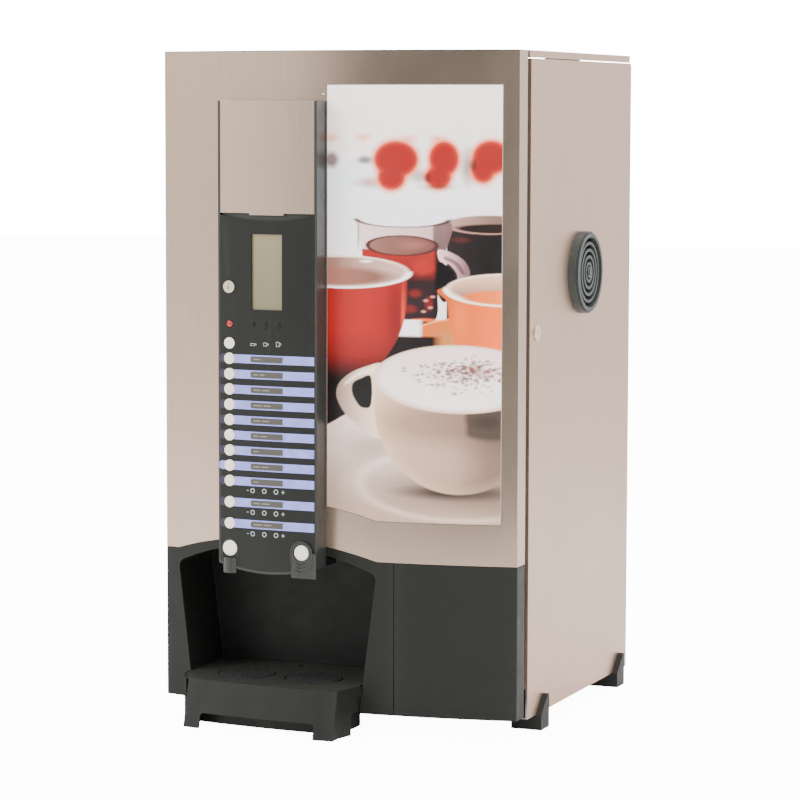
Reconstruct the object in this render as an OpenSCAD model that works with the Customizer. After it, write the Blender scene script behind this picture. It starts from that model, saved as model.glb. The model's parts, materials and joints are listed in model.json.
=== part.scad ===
// Table-top hot drinks vending machine with a bowed steel door.
// +Z is up, the front faces -Y. The origin is on the floor, below the middle.

/* [Cabinet] */
// Width over the side panels
cabinet_w = 500; // [480:1:640]
// Depth from the door's front corners to the back
cabinet_d = 462; // [440:1:600]
// Height of the lid above the floor
cabinet_h = 886; // [880:1:1100]
// Thickness of the folded steel sheet
sheet_t = 1.5; // [1:0.1:2]
// Height of the side panels' lower edges above the floor
panel_z = 20; // [16:1:28]
// Height of the lid's side flanges
lid_flange_h = 9.5; // [8:0.5:14]
// Gap between neighbouring outer panels
panel_gap = 1; // [0.5:0.1:2]

/* [Feet] */
// Length of each foot, front to back
foot_l = 32; // [24:1:44]
// Width of each foot under the cabinet
foot_w = 34; // [24:1:44]
// Thickness of the foot's outer fin
foot_fin_t = 8; // [5:0.5:10]
// Height of the fin's point above the floor
foot_fin_h = 44; // [32:1:60]
// Distance from the side panel's ends to the feet
foot_inset = 32; // [20:1:60]

/* [Door] */
// How far the door's middle stands ahead of its edges
door_bow = 30; // [20:1:36]
// Thickness of the door at its edges
door_t = 29; // [26:1:36]
// Gap between the door and the side panels
door_gap = 13; // [11:1:16]
// Height of the door's lower edge
door_z = 25; // [24.5:0.5:30]
// Height of the steel skin's lower edge at its ends
skin_z = 225.6; // [215:0.2:240]
// Radius of the hinge pins
hinge_pin_r = 4; // [3:0.5:5]
// Largest opening clearance round a turning pin
pin_play = 0.06; // [0.02:0.01:0.1]

/* [Cup bay] */
// Distance of the cup bay's middle from the cabinet's middle
bay_x = -82; // [-90:1:-60]
// Half the width of the cup bay at its upper corners
bay_half = 146.5; // [130:0.5:148]
// Radius of the arched top of the cup bay
bay_arc_r = 360; // [320:5:420]
// Height of the cup bay's highest point
bay_peak = 239; // [225:1:242]
// Radius of the cup bay's upper corners
bay_corner_r = 11; // [6:1:16]
// Angle at which the sides draw in towards the bottom
bay_taper = 7.3; // [4:0.1:9]
// Depth of the cup bay behind the door's front corners
bay_depth = 95; // [80:1:110]
// Wall thickness of the moulded lower panels
bay_wall = 3; // [2:0.5:4]
// Radius of the arch cut in the steel skin
arch_r = 495; // [450:5:560]
// Half the width of that arch
arch_half = 148; // [140:1:150]
// Distance from the cabinet's middle to the joint of the lower panels
seam_x = 89.5; // [84:0.5:120]

/* [Poster] */
// Distance from the poster to the door's right edge
poster_right = 21; // [15:1:40]
// Distance from the poster to the door's top edge
poster_top = 44.5; // [30:0.5:80]
// Height of the poster's lower edge above the skin's lower edge
poster_rise = 54; // [40:1:80]
// Thickness of the poster panel
poster_t = 2; // [1.5:0.1:3]

/* [Control column] */
// Distance of the column's middle from the cabinet's middle
column_x = -76.5; // [-84:0.5:-70]
// Width of the column
column_w = 145; // [138:1:160]
// How far the column stands out of the door
column_out = 30; // [26:1:36]
// Height of the column's lowest point
column_z = 205.5; // [200:0.5:212]
// Rise of the curved lower edge at its ends
column_rise = 11; // [6:1:16]
// Wall thickness of the column
column_wall = 3.2; // [2.4:0.2:4]
// Height of the flap's lower edge
flap_z = 676; // [670:1:700]
// Height of the steel flap
flap_h = 145; // [130:1:150]
// Width of the pull tab under the flap
tab_w = 50; // [30:1:70]
// Thickness of the front plate
fascia_t = 2.5; // [2:0.1:3.5]
// Gap between the front plate and the column's rim
fascia_gap = 0.2; // [0.1:0.1:0.5]

/* [Buttons] */
// Radius of the drink buttons
button_r = 7.3; // [6:0.1:7.4]
// Radius of the two large buttons
big_button_r = 10; // [8:0.1:11]
// Height of the buttons above the front plate
button_out = 3; // [2.5:0.1:4]
// Gap round each button
button_gap = 0.4; // [0.3:0.1:0.8]
// Height of the lowest drink button
button_z = 270; // [268:1:275]
// Spacing of the two lowest drink buttons
wide_pitch = 28; // [24:0.5:30]
// Spacing of the other drink buttons
button_pitch = 20.05; // [18:0.05:21]
// Distance of the drink buttons from the column's left side
button_inset = 17.6; // [15:0.1:22]
// Height of the two large buttons
big_button_z = 236.8; // [232:0.2:240]
// Height of the label stripes
stripe_h = 11.3; // [8:0.1:13]
// Width and height of the display's window
display_w = 44.5; // [36:0.5:60]
// Height of the display's window
display_h = 98; // [80:1:99]
// Distance of the display's middle from the cabinet's middle
display_x = -76.2; // [-90:0.1:-60]

/* [Drip tray] */
// How far the tray's legs stand ahead of the door's front corners
tray_reach = 98; // [90:1:130]
// Width of the apron
apron_w = 220; // [200:1:240]
// Distance of the apron's middle to the right of the bay's middle
apron_shift = 5.5; // [0:0.5:8]
// Height of the tray's rim
tray_z = 62; // [56:1:72]
// How far the apron leans forward at the floor
apron_lean = 17; // [8:1:24]
// Height of the gap under the apron
apron_arch = 20; // [12:1:24]
// Wall thickness of the tray
tray_wall = 2.6; // [2:0.2:4]
// Radius of each cup stand
stand_r = 37; // [30:0.5:44]
// Width of the groove round each cup stand
stand_groove = 2.5; // [0.5:0.1:4]
// Distance between the two cup stands
stand_pitch = 97; // [84:1:110]

/* [Ventilation] */
// Radius of the round vent on the right side
vent_r = 55; // [45:1:60]
// How far the vent stands out
vent_out = 14; // [8:1:16]
// Distance of the vent's middle behind the door's front corners
vent_y = 246; // [230:1:280]
// Height of the vent's middle above the floor
vent_z = 593; // [560:1:620]

/* [Water connection] */
// How far the water union stands out of the back
water_stub_l = 16; // [12:1:24]
// Radius of the water union over its thread
water_r = 13.2; // [10:0.1:16]

/* [Hidden] */
$fn = 96;
eps = 0.01;
far = 3000;

steel = "tan";
dark = "darkslategray";
ivory = "seashell";

// ---- planes and places that several pieces share ----
front_y = -(cabinet_d + water_stub_l - tray_reach) / 2;
back_y = front_y + cabinet_d;
bow_r = (cabinet_w * cabinet_w / 4 + door_bow * door_bow) / (2 * door_bow);
bow_axis_y = front_y + bow_r - door_bow;
door_back_y = front_y + door_t;
side_y = front_y + door_t + door_gap;
wall_x = cabinet_w / 2;
inner_x = wall_x - sheet_t;
side_top = cabinet_h - lid_flange_h - panel_gap;
column_left = column_x - column_w / 2;
column_right = column_x + column_w / 2;
column_top = flap_z + flap_h;
flap_top = column_top;
hinge_x = -wall_x + 10;
hinge_y = front_y + 20;
bay_arc_z = bay_peak - bay_arc_r;
bay_corner_x = bay_half - bay_corner_r;
bay_corner_z = bay_arc_z + sqrt(pow(bay_arc_r - bay_corner_r, 2) - pow(bay_corner_x, 2));
arch_z = skin_z - sqrt(arch_r * arch_r - arch_half * arch_half);
floor_z = panel_z + sheet_t;
function bow_y(x, out = 0) = bow_axis_y - sqrt(pow(bow_r + out, 2) - x * x);

// ---- shared shapes ----
// A flat outline in X and Z, made solid from y to y + l
module along_y(y, l) {
    translate([0, y + l, 0]) rotate([90, 0, 0]) linear_extrude(l) children();
}

// Everything behind the door's bowed face moved forward by out
module behind_bow(out, z0 = -1, z1 = cabinet_h + 40) {
    translate([0, bow_axis_y, z0]) cylinder(r = bow_r + out, h = z1 - z0, $fn = 360);
}

// A curved sheet parallel to the bowed face, t thick, its front at out
module bow_sheet(out, t, x0, x1, z0, z1) {
    intersection() {
        translate([x0, front_y - door_bow - column_out - 20, z0])
            cube([x1 - x0, door_bow + column_out + 20 + door_t, z1 - z0]);
        difference() {
            behind_bow(out, z0 - 1, z1 + 1);
            behind_bow(out - t, z0 - 2, z1 + 2);
        }
    }
}

module rod_y(x, y, z, r, l) {
    translate([x, y, z]) rotate([-90, 0, 0]) cylinder(r = r, h = l);
}

module rod_x(x, y, z, r, l) {
    translate([x, y, z]) rotate([0, 90, 0]) cylinder(r = r, h = l);
}

module box(low, high) {
    translate(low) cube(high - low);
}

// ---- cabinet ----
pan_wall_h = 38;
module base_pan() {
    color("silver") difference() {
        box([-inner_x, side_y, panel_z], [inner_x, back_y - sheet_t, panel_z + pan_wall_h]);
        box([-inner_x + sheet_t, side_y - 1, floor_z],
            [inner_x - sheet_t, back_y - 2 * sheet_t, panel_z + pan_wall_h + 1]);
    }
}

return_w = 12;
module side_sheet(side) {
    inner = side > 0 ? inner_x : -wall_x;
    lip = side > 0 ? inner_x - return_w : -inner_x;
    translate([inner, side_y, panel_z]) cube([sheet_t, back_y - sheet_t - side_y, side_top - panel_z]);
    translate([lip, side_y, panel_z + pan_wall_h + 1])
        cube([return_w, sheet_t, side_top - panel_z - pan_wall_h - 1]);
}

bracket_t = 2.8;
bracket_top_z = cabinet_h - 18;
module left_side_panel() {
    color(steel) difference() {
        side_sheet(-1);
        box([-inner_x - eps, side_y - 1, bracket_top_z - 0.2],
            [-inner_x + return_w + 1, side_y + sheet_t + eps, bracket_top_z + bracket_t + 0.2]);
    }
}

side_lock_y = front_y + 68;
side_lock_z = 523;
lock_r = 8;
vent_y_abs = front_y + vent_y;
fan_bore_r = vent_r - 12;
module right_side_panel() {
    color(steel) difference() {
        side_sheet(1);
        rod_x(inner_x - 1, vent_y_abs, vent_z, fan_bore_r, sheet_t + 2);
        rod_x(inner_x - 1, side_lock_y, side_lock_z, lock_r + 0.3, sheet_t + 2);
    }
}

back_top = cabinet_h - 14;
inlet_x = 170;
inlet_w = 28;
inlet_h = 22;
inlet_z = 62;
water_x = 110;
water_z = 95;
module back_panel() {
    color("silver") difference() {
        box([-wall_x, back_y - sheet_t, panel_z], [wall_x, back_y, back_top]);
        box([inlet_x, back_y - 3, inlet_z], [inlet_x + inlet_w, back_y + 1, inlet_z + inlet_h]);
        rod_y(water_x, back_y - 3, water_z, water_r + 0.3, 5);
        for (row = [0:5])
            box([-170, back_y - 3, 640 + row * 16], [-50, back_y + 1, 644 + row * 16]);
    }
}

// A foot: a pad under the corner, and a fin up the side of the panel
module foot(side, y) {
    mirror([side > 0 ? 0 : 1, 0, 0]) {
        box([wall_x - foot_w, y, 0], [wall_x + foot_fin_t, y + foot_l, panel_z]);
        translate([wall_x, 0, 0]) rotate([90, 0, 90]) linear_extrude(foot_fin_t)
            polygon([[y, panel_z - eps], [y + foot_l, panel_z - eps],
                     [y + foot_l, foot_fin_h], [y + foot_l - 6, foot_fin_h]]);
    }
}

module feet() {
    color("dimgray") for (side = [-1, 1], y = [side_y + foot_inset, back_y - foot_inset - foot_l])
        foot(side, y);
}

// Cabinet half of the door hinge: two plates, each with an upright pin
bracket_nose_r = 8;
bracket_back_y = side_y + 26;
module bracket(x0, z, pin_z, pin_l) {
    nose_x = hinge_x + bracket_nose_r;
    translate([hinge_x, hinge_y, z]) cylinder(r = bracket_nose_r, h = bracket_t);
    box([hinge_x - bracket_nose_r + 1.5, hinge_y, z], [nose_x, bracket_back_y, z + bracket_t]);
    box([x0, side_y + sheet_t + 2, z], [nose_x, bracket_back_y, z + bracket_t]);
    translate([hinge_x, hinge_y, pin_z]) cylinder(r = hinge_pin_r, h = pin_l);
}

hinge_pin_l = 18;
stile_z = door_z + 1;
stile_top = bracket_top_z - 2;
module hinge_brackets() {
    color("gray") {
        bracket(-inner_x + sheet_t, floor_z, floor_z + bracket_t - eps,
                stile_z - floor_z - bracket_t + hinge_pin_l);
        bracket(-inner_x, bracket_top_z, stile_top - hinge_pin_l,
                bracket_top_z - stile_top + hinge_pin_l + eps);
    }
}

lid_axis_y = back_y - 7;
lid_axis_z = cabinet_h - 6;
lid_rod_r = 2.5;
knuckle_r = 5;
knuckle_l = 40;
lid_y = side_y - 5;
module top_lid() {
    color(steel) {
        box([-wall_x, lid_y, cabinet_h - sheet_t], [wall_x, lid_axis_y + 3, cabinet_h]);
        for (side = [-1, 1])
            translate([side > 0 ? inner_x : -wall_x, lid_y, cabinet_h - lid_flange_h])
                cube([sheet_t, lid_axis_y - lid_y, lid_flange_h]);
        box([-wall_x, lid_y, cabinet_h - lid_flange_h], [wall_x, lid_y + sheet_t, cabinet_h]);
        for (x = [-170, 130]) difference() {
            union() {
                rod_x(x, lid_axis_y, lid_axis_z, knuckle_r, knuckle_l);
                box([x, lid_axis_y - 3, lid_axis_z],
                    [x + knuckle_l, lid_axis_y + 3, cabinet_h - sheet_t + eps]);
            }
            rod_x(x - 1, lid_axis_y, lid_axis_z, lid_rod_r + pin_play, knuckle_l + 2);
        }
    }
}

// ---- chassis and the machinery on it ----
wall_y = front_y + 200;
shelf_z = 560;
wall_z = 262;
canister_w = 116;
canister_d = 200;
canister_h = 236;
canister_pitch = 132;
canister_y = wall_y + 4;
canister_t = 2.4;
auger_r = 13;
auger_lift = 17;
auger_shaft_r = 3;
// The tube that carries powder out over the mixing bowl, and the outlet's distance from its end
chute_l = 38;
outlet_back = 12;
outlet_drop = 26;
outlet_r = 9;
canister_xs = [-150, -18, 114];
module chassis() {
    color("silver") difference() {
        union() {
            box([-inner_x, wall_y, wall_z], [inner_x, wall_y + sheet_t, shelf_z]);
            box([-inner_x, wall_y, shelf_z], [inner_x, back_y - sheet_t, shelf_z + sheet_t]);
            for (x = [-150, 150])
                box([x - 20, wall_y, floor_z], [x + 20, wall_y + sheet_t, wall_z + eps]);
            for (x = [-170, 130], end = [-1, 1])
                translate([x + knuckle_l / 2 + end * (knuckle_l / 2 + 3), lid_axis_y, 0]) {
                    box([-2, -4, back_top - 30], [2, 5.5, back_top]);
                    box([-2, -3.8, back_top - eps], [2, 3.8, lid_axis_z]);
                    rod_x(-2, 0, lid_axis_z, 4, 4);
                }
        }
        for (x = bowl_xs) rod_y(x, wall_y - 1, bowl_z, auger_shaft_r + 1, sheet_t + 2);
        box([inner_x - fan_t - 2, vent_y_abs - fan_half - 2, vent_z - fan_half - 2],
            [wall_x, vent_y_abs + fan_half + 2, vent_z + fan_half + 2]);
    }
    color("gray") for (x = [-170, 130])
        rod_x(x - 4, lid_axis_y, lid_axis_z, lid_rod_r, knuckle_l + 8);
}

// One powder canister with its sloped trough and its outlet
trough_h = 52;
module canister(x) {
    low = shelf_z + sheet_t;
    top = low + canister_h;
    axis_z = low + auger_lift;
    half = canister_w / 2 - canister_t;
    outlet_y = canister_y - chute_l + outlet_back;
    difference() {
        union() {
            box([x - canister_w / 2, canister_y, low], [x + canister_w / 2, canister_y + canister_d, top]);
            rod_y(x, canister_y - chute_l, axis_z, auger_r + 2.6, chute_l + 1);
            translate([x, outlet_y, axis_z - outlet_drop]) cylinder(r = outlet_r, h = outlet_drop);
        }
        along_y(canister_y + canister_t, canister_d - 2 * canister_t) translate([x, 0])
            polygon([[-auger_r, axis_z], [auger_r, axis_z], [half, low + trough_h],
                     [half, top + 1], [-half, top + 1], [-half, low + trough_h]]);
        rod_y(x, canister_y - chute_l + 2, axis_z, auger_r + 0.6, canister_d + chute_l - 2 - canister_t);
        rod_y(x, canister_y + canister_d - canister_t - 1, axis_z, auger_shaft_r + pin_play, canister_t + 2);
        translate([x, outlet_y, axis_z - outlet_drop - 1]) cylinder(r = outlet_r - 2, h = outlet_drop + 1);
    }
}

module canisters() {
    color("whitesmoke") for (x = canister_xs) canister(x);
}

module canister_lids() {
    top = shelf_z + sheet_t + canister_h;
    color("white") for (x = canister_xs) difference() {
        box([x - canister_w / 2 - 1.5, canister_y - 1.5, top - 8],
            [x + canister_w / 2 + 1.5, canister_y + canister_d + 1.5, top + 2.5]);
        box([x - canister_w / 2 - 0.2, canister_y - 0.2, top - 9],
            [x + canister_w / 2 + 0.2, canister_y + canister_d + 0.2, top + 0.2]);
    }
}

// A powder screw: a round shaft with a row of slanted flights
flight_pitch = 15;
flight_slant = 20;
auger_start_y = canister_y - chute_l + 2.4;
auger_motor_y = canister_y + canister_d + 6;
module auger(x) {
    axis_z = shelf_z + sheet_t + auger_lift;
    color("white") {
        rod_y(x, auger_start_y, axis_z, auger_shaft_r, auger_motor_y - auger_start_y);
        for (y = [auger_start_y + 8 : flight_pitch : canister_y + canister_d - 14])
            translate([x, y, axis_z]) rotate([flight_slant, 0, 0])
                rod_y(0, -0.9, 0, auger_r - 0.6, 1.8);
    }
}

bowl_z = 474;
bowl_r = 33;
bowl_h = 52;
bowl_y = wall_y - 42;
whip_r = 15;
bowl_xs = [-18, 114];
// Mixing bowls: an open cup over a round whipping chamber with an outlet
module mixing_bowls() {
    color("ivory") for (x = bowl_xs) difference() {
        union() {
            translate([x, bowl_y, bowl_z + 12]) cylinder(r = bowl_r, h = bowl_h - 12);
            rod_y(x, wall_y - 30, bowl_z, whip_r + 5, 30);
            translate([x, wall_y - 17, bowl_z - 44]) cylinder(r = 8, h = 34);
        }
        translate([x, bowl_y, bowl_z + 19]) cylinder(r = bowl_r - 2.4, h = bowl_h);
        rod_y(x, wall_y - 27, bowl_z, whip_r + 2, 24);
        rod_y(x, wall_y - 5, bowl_z, auger_shaft_r + 1, 8);
        translate([x, wall_y - 17, bowl_z]) cylinder(r = 8, h = 30);
        translate([x, wall_y - 17, bowl_z - 45]) cylinder(r = 5.5, h = 40);
    }
}

module whipper(x) {
    color("white") {
        rod_y(x, wall_y - 24, bowl_z, auger_shaft_r, 24 + sheet_t + 4);
        for (a = [0:60:300]) translate([x, wall_y - 22, bowl_z]) rotate([0, a, 0])
            box([0, 0, -1], [whip_r - 1, 12, 1]);
        rod_y(x, wall_y - 10, bowl_z, whip_r - 1, 2);
    }
}

motor_r = 19;
motor_l = 42;
// Geared motors of the augers and the motors of the whippers
module drive_motors() {
    color("dimgray") {
        for (x = canister_xs) {
            axis_z = shelf_z + sheet_t + auger_lift;
            difference() {
                box([x - 26, auger_motor_y - 5, shelf_z + sheet_t],
                    [x + 26, auger_motor_y + 12, axis_z + 20]);
                rod_y(x, auger_motor_y - 6, axis_z, auger_shaft_r + pin_play, 6.5);
            }
        }
        for (x = bowl_xs) difference() {
            rod_y(x, wall_y + sheet_t, bowl_z, motor_r, motor_l);
            rod_y(x, wall_y + sheet_t - 1, bowl_z, auger_shaft_r + pin_play, 6);
        }
    }
}

brewer_x = -150;
brewer_y = wall_y - 45;
brewer_z = 318;
brewer_h = 96;
brewer_r = 30;
rod_guide_z = 500;
// Brewing chamber on its bracket, with a guide for the piston rod above
module brewer_body() {
    color("gainsboro") difference() {
        union() {
            translate([brewer_x, brewer_y, brewer_z]) cylinder(r = brewer_r + 4, h = brewer_h);
            box([brewer_x - 30, brewer_y, brewer_z], [brewer_x + 30, wall_y, brewer_z + 10]);
            box([brewer_x - 30, brewer_y, brewer_z + 60], [brewer_x + 30, wall_y, brewer_z + 70]);
            box([brewer_x - 22, brewer_y - 14, rod_guide_z], [brewer_x + 22, wall_y, rod_guide_z + 8]);
        }
        translate([brewer_x, brewer_y, brewer_z + 6]) cylinder(r = brewer_r, h = brewer_h);
        translate([brewer_x, brewer_y, brewer_z - 1]) cylinder(r = 6, h = 10);
        translate([brewer_x, brewer_y, rod_guide_z - 1]) cylinder(r = 6 + pin_play, h = 10);
    }
}

module brewer_piston() {
    color("silver") {
        translate([brewer_x, brewer_y, brewer_z + 6.3]) cylinder(r = brewer_r - pin_play, h = 14);
        translate([brewer_x, brewer_y, brewer_z + 20]) cylinder(r = 6, h = rod_guide_z - brewer_z - 6);
    }
}

boiler_x = 150;
boiler_y = wall_y + 96;
boiler_r = 58;
boiler_z = floor_z + 22;
boiler_h = 176;
module boiler() {
    color("lightgray") {
        translate([boiler_x, boiler_y, boiler_z]) cylinder(r = boiler_r, h = boiler_h);
        for (z = [boiler_z - 4, boiler_z + boiler_h - 4])
            translate([boiler_x, boiler_y, z]) cylinder(r = boiler_r + 4, h = 8);
        for (a = [45:90:315]) translate([boiler_x, boiler_y, 0]) rotate(a)
            translate([boiler_r - 12, 0, floor_z]) cylinder(r = 5, h = boiler_z - floor_z);
        for (x = [-24, 0, 24]) {
            translate([boiler_x + x, boiler_y, boiler_z + boiler_h + 3]) cylinder(r = 8, h = 22);
            box([boiler_x + x - 9, boiler_y - 10, boiler_z + boiler_h + 24],
                [boiler_x + x + 9, boiler_y + 10, boiler_z + boiler_h + 50]);
        }
    }
}

// One water pipe: up from a valve, across in front of the machinery, and along
hose_r = 4;
valve_top = boiler_z + boiler_h + 50;
module hose(x0, x1, z1, y1) {
    y0 = boiler_y;
    translate([x0, y0, valve_top]) cylinder(r = hose_r, h = z1 - valve_top);
    translate([x0, y0, z1]) sphere(r = hose_r);
    rod_x(min(x0, x1), y0, z1, hose_r, abs(x1 - x0));
    translate([x1, y0, z1]) sphere(r = hose_r);
    rod_y(x1, y1, z1, hose_r, y0 - y1);
}

module hoses() {
    color("lightblue") {
        hose(boiler_x - 24, brewer_x + 60, 330, wall_y + sheet_t);
        hose(boiler_x, -62, 400, wall_y + sheet_t);
        hose(boiler_x + 24, 200, 420, wall_y + sheet_t);
    }
}

module waste_bin() {
    bin_low = [-inner_x + 12, front_y + bay_depth + bay_wall + 22, floor_z];
    bin_high = [-40, wall_y - 8, 236];
    color("slategray") difference() {
        box(bin_low, bin_high);
        box(bin_low + [2.5, 2.5, 2.5], bin_high + [-2.5, -2.5, 1]);
    }
}

board_z = 300;
module electronics() {
    color("silver") difference() {
        box([-200, back_y - 92, floor_z], [-60, back_y - 8, floor_z + 60]);
        for (i = [0:9])
            box([-190 + i * 12, back_y - 93, floor_z + 12], [-186 + i * 12, back_y - 88, floor_z + 48]);
    }
    color("green") box([-210, back_y - 14, board_z], [-40, back_y - 12.4, board_z + 130]);
    color("silver") for (x = [-202, -48], z = [board_z + 8, board_z + 122])
        rod_y(x, back_y - 12.4 - eps, z, 3, 12.4 - sheet_t + eps);
    color("black") for (x = [-180:34:-70], z = [board_z + 30, board_z + 80])
        box([x, back_y - 19, z], [x + 20, back_y - 14 + eps, z + 26]);
}

module mains_inlet() {
    color("black") difference() {
        union() {
            box([inlet_x + 0.3, back_y - 22, inlet_z + 0.3],
                [inlet_x + inlet_w - 0.3, back_y + eps, inlet_z + inlet_h - 0.3]);
            box([inlet_x - 9, back_y, inlet_z - 4],
                [inlet_x + inlet_w + 9, back_y + 2.5, inlet_z + inlet_h + 4]);
        }
        box([inlet_x + 2.5, back_y - 14, inlet_z + 3],
            [inlet_x + inlet_w - 2.5, back_y + 3, inlet_z + inlet_h - 3]);
    }
    color("silver") for (x = [-7, 0, 7])
        box([inlet_x + inlet_w / 2 + x - 1, back_y - 14.5, inlet_z + 9],
            [inlet_x + inlet_w / 2 + x + 1, back_y - 2, inlet_z + 13]);
}

module water_inlet() {
    color("goldenrod") difference() {
        union() {
            rod_y(water_x, back_y - 30, water_z, water_r - 1.5, 31);
            rod_y(water_x, back_y + 1, water_z, water_r, water_stub_l - 1);
            rod_y(water_x, back_y - sheet_t - 4, water_z, water_r + 5, 4);
            box([water_x - 14, back_y - 60, water_z - 14], [water_x + 14, back_y - 28, water_z + 30]);
        }
        rod_y(water_x, back_y - 20, water_z, 8, 20 + water_stub_l + 1);
    }
}

// ---- vent and fan ----
fan_t = 25;
fan_half = vent_r - 8;
blade_r = fan_bore_r - 2.5;
module fan_frame() {
    color("black") difference() {
        box([inner_x - fan_t, vent_y_abs - fan_half, vent_z - fan_half],
            [inner_x, vent_y_abs + fan_half, vent_z + fan_half]);
        rod_x(inner_x - fan_t + 4, vent_y_abs, vent_z, fan_bore_r, fan_t);
        difference() {
            rod_x(inner_x - fan_t - 1, vent_y_abs, vent_z, fan_bore_r, 6);
            rod_x(inner_x - fan_t - 2, vent_y_abs, vent_z, 17, 8);
            for (a = [0:90:270]) translate([0, vent_y_abs, vent_z]) rotate([a + 45, 0, 0])
                box([inner_x - fan_t - 2, -3, 0], [inner_x, 3, fan_bore_r + 2]);
        }
    }
}

module fan_rotor() {
    color("dimgray") {
        rod_x(inner_x - fan_t + 4.4, vent_y_abs, vent_z, 16, 15);
        for (a = [0:360 / 7:359]) translate([inner_x - fan_t + 12, vent_y_abs, vent_z])
            rotate([a, 0, 0]) translate([0, 0, 14]) rotate([0, 0, 42])
                box([-7, -1, 0], [7, 1, blade_r - 14.5]);
    }
}

ring_w = 4;
ring_gap = 5;
vent_rim_w = 9;
module ring_x(x, r_out, r_in, l) {
    difference() {
        rod_x(x, vent_y_abs, vent_z, r_out, l);
        rod_x(x - 1, vent_y_abs, vent_z, r_in, l + 2);
    }
}

module vent_grille() {
    color(dark) {
        ring_x(wall_x, vent_r, vent_r - vent_rim_w, vent_out - 3);
        ring_x(wall_x + vent_out - 3 - eps, vent_r - 2.5, vent_r - vent_rim_w + 1, 3 + eps);
        for (r = [vent_r - vent_rim_w - ring_gap : -(ring_w + ring_gap) : 12])
            ring_x(wall_x + 3, r, r - ring_w, vent_out - 5);
        rod_x(wall_x + 1, vent_y_abs, vent_z, 8, vent_out - 2);
        for (a = [0:45:315]) translate([0, vent_y_abs, vent_z]) rotate([a, 0, 0])
            box([wall_x + 2, -2, 6], [wall_x + 6, 2, vent_r - vent_rim_w + 1]);
    }
    color("silver") rod_x(wall_x + vent_out - 1 - eps, vent_y_abs, vent_z, 4.2, 1 + eps);
}

module side_lock() {
    color("silver") difference() {
        union() {
            rod_x(inner_x - 16, side_lock_y, side_lock_z, lock_r, 16 + sheet_t + 3);
            rod_x(wall_x + 0.3, side_lock_y, side_lock_z, lock_r + 3, 2);
            rod_x(inner_x - 19, side_lock_y, side_lock_z, 4, 4);
            box([inner_x - 19, side_lock_y - 5, side_lock_z - 21],
                [inner_x - 17, side_lock_y + 5, side_lock_z + 5]);
        }
        box([wall_x + 1.5, side_lock_y - 0.7, side_lock_z - 4],
            [wall_x + 5, side_lock_y + 0.7, side_lock_z + 4]);
        rod_x(wall_x + 1.5, side_lock_y, side_lock_z, 1.8, 4);
    }
}

// Pan-head screws of the back panel
module screw(x, z) {
    rod_y(x, back_y, z, 4, 2.4);
}

module fasteners() {
    color("silver") {
        for (x = [-wall_x + 12, wall_x - 12], z = [60, 330, 600, back_top - 14]) screw(x, z);
        for (x = [-110, 90]) screw(x, panel_z + 14);
        for (x = [-130, 60]) screw(x, back_top - 14);
    }
}

// ---- door ----
return_notch_z = bracket_top_z - 2;
// The outline of the steel skin: a rectangle with the arch taken out below
module skin_outline() {
    difference() {
        translate([-wall_x, skin_z]) square([cabinet_w, cabinet_h - skin_z]);
        translate([bay_x, arch_z]) circle(r = arch_r, $fn = 360);
    }
}

poster_left = column_right + 1.5;
module poster_outline(grow) {
    low = skin_z + poster_rise - grow;
    difference() {
        translate([poster_left - grow, low])
            square([wall_x - poster_right - poster_left + 2 * grow, cabinet_h - poster_top - low + grow]);
        translate([bay_x, arch_z + poster_rise - grow]) circle(r = arch_r, $fn = 360);
    }
}

module door_skin() {
    color(steel) {
        difference() {
            intersection() {
                along_y(front_y - door_bow - 5, door_bow + door_t + 5) skin_outline();
                difference() {
                    behind_bow(0);
                    behind_bow(-sheet_t);
                }
            }
            along_y(front_y - door_bow - 5, door_bow + 20) poster_outline(0.4);
        }
        for (side = [-1, 1]) difference() {
            translate([side > 0 ? inner_x : -wall_x, front_y + 0.2, skin_z])
                cube([sheet_t, door_t - 0.2, cabinet_h - skin_z]);
            if (side < 0)
                box([-wall_x - 1, front_y + 8, return_notch_z],
                    [-inner_x + 1, door_back_y + 1, return_notch_z + bracket_t + 4]);
        }
        intersection() {
            behind_bow(-0.2);
            box([-wall_x, front_y - door_bow, cabinet_h - sheet_t], [wall_x, door_back_y, cabinet_h]);
        }
    }
}

stile_w = 15.5;
frame_t = 2;
module door_frame() {
    color("silver") difference() {
        union() {
            box([-inner_x + 0.2, hinge_y - 8, stile_z], [-inner_x + 0.2 + stile_w, hinge_y + 8, stile_top]);
            box([-inner_x + 0.2 + stile_w - eps, door_back_y - 3 - frame_t, skin_z + 30],
                [inner_x - 0.2, door_back_y - 3, stile_top - 4]);
            box([hinge_x + bracket_nose_r + 3, door_back_y - 3 - frame_t, skin_z + 30],
                [inner_x - 0.2, door_back_y - 3, cabinet_h - sheet_t]);
            box([inner_x - 16, front_y + 6, skin_z + 2],
                [inner_x - 0.2, door_back_y - 3, cabinet_h - sheet_t]);
            box([-inner_x + 0.2 + stile_w - eps, front_y + 6, cabinet_h - 40],
                [inner_x - 0.2, door_back_y - 3, cabinet_h - 38]);
        }
        for (z = [stile_z - 1, stile_top - hinge_pin_l - 1])
            translate([hinge_x, hinge_y, z]) cylinder(r = hinge_pin_r + pin_play, h = hinge_pin_l + 2);
        box([inner_x - 14, front_y + 4, skin_z + 30], [inner_x - 2.2, door_back_y - 5, cabinet_h - 42]);
        for (row = [0:2]) box([-30, door_back_y - 10, 300 + row * 180], [190, door_back_y, 440 + row * 180]);
        box([-190, door_back_y - 10, 300], [-60, door_back_y, 800]);
    }
}

module poster_panel() {
    color("mistyrose") intersection() {
        along_y(front_y - door_bow - 5, door_bow + 20) poster_outline(0);
        difference() {
            behind_bow(0.5);
            behind_bow(0.5 - poster_t);
        }
    }
}

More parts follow.
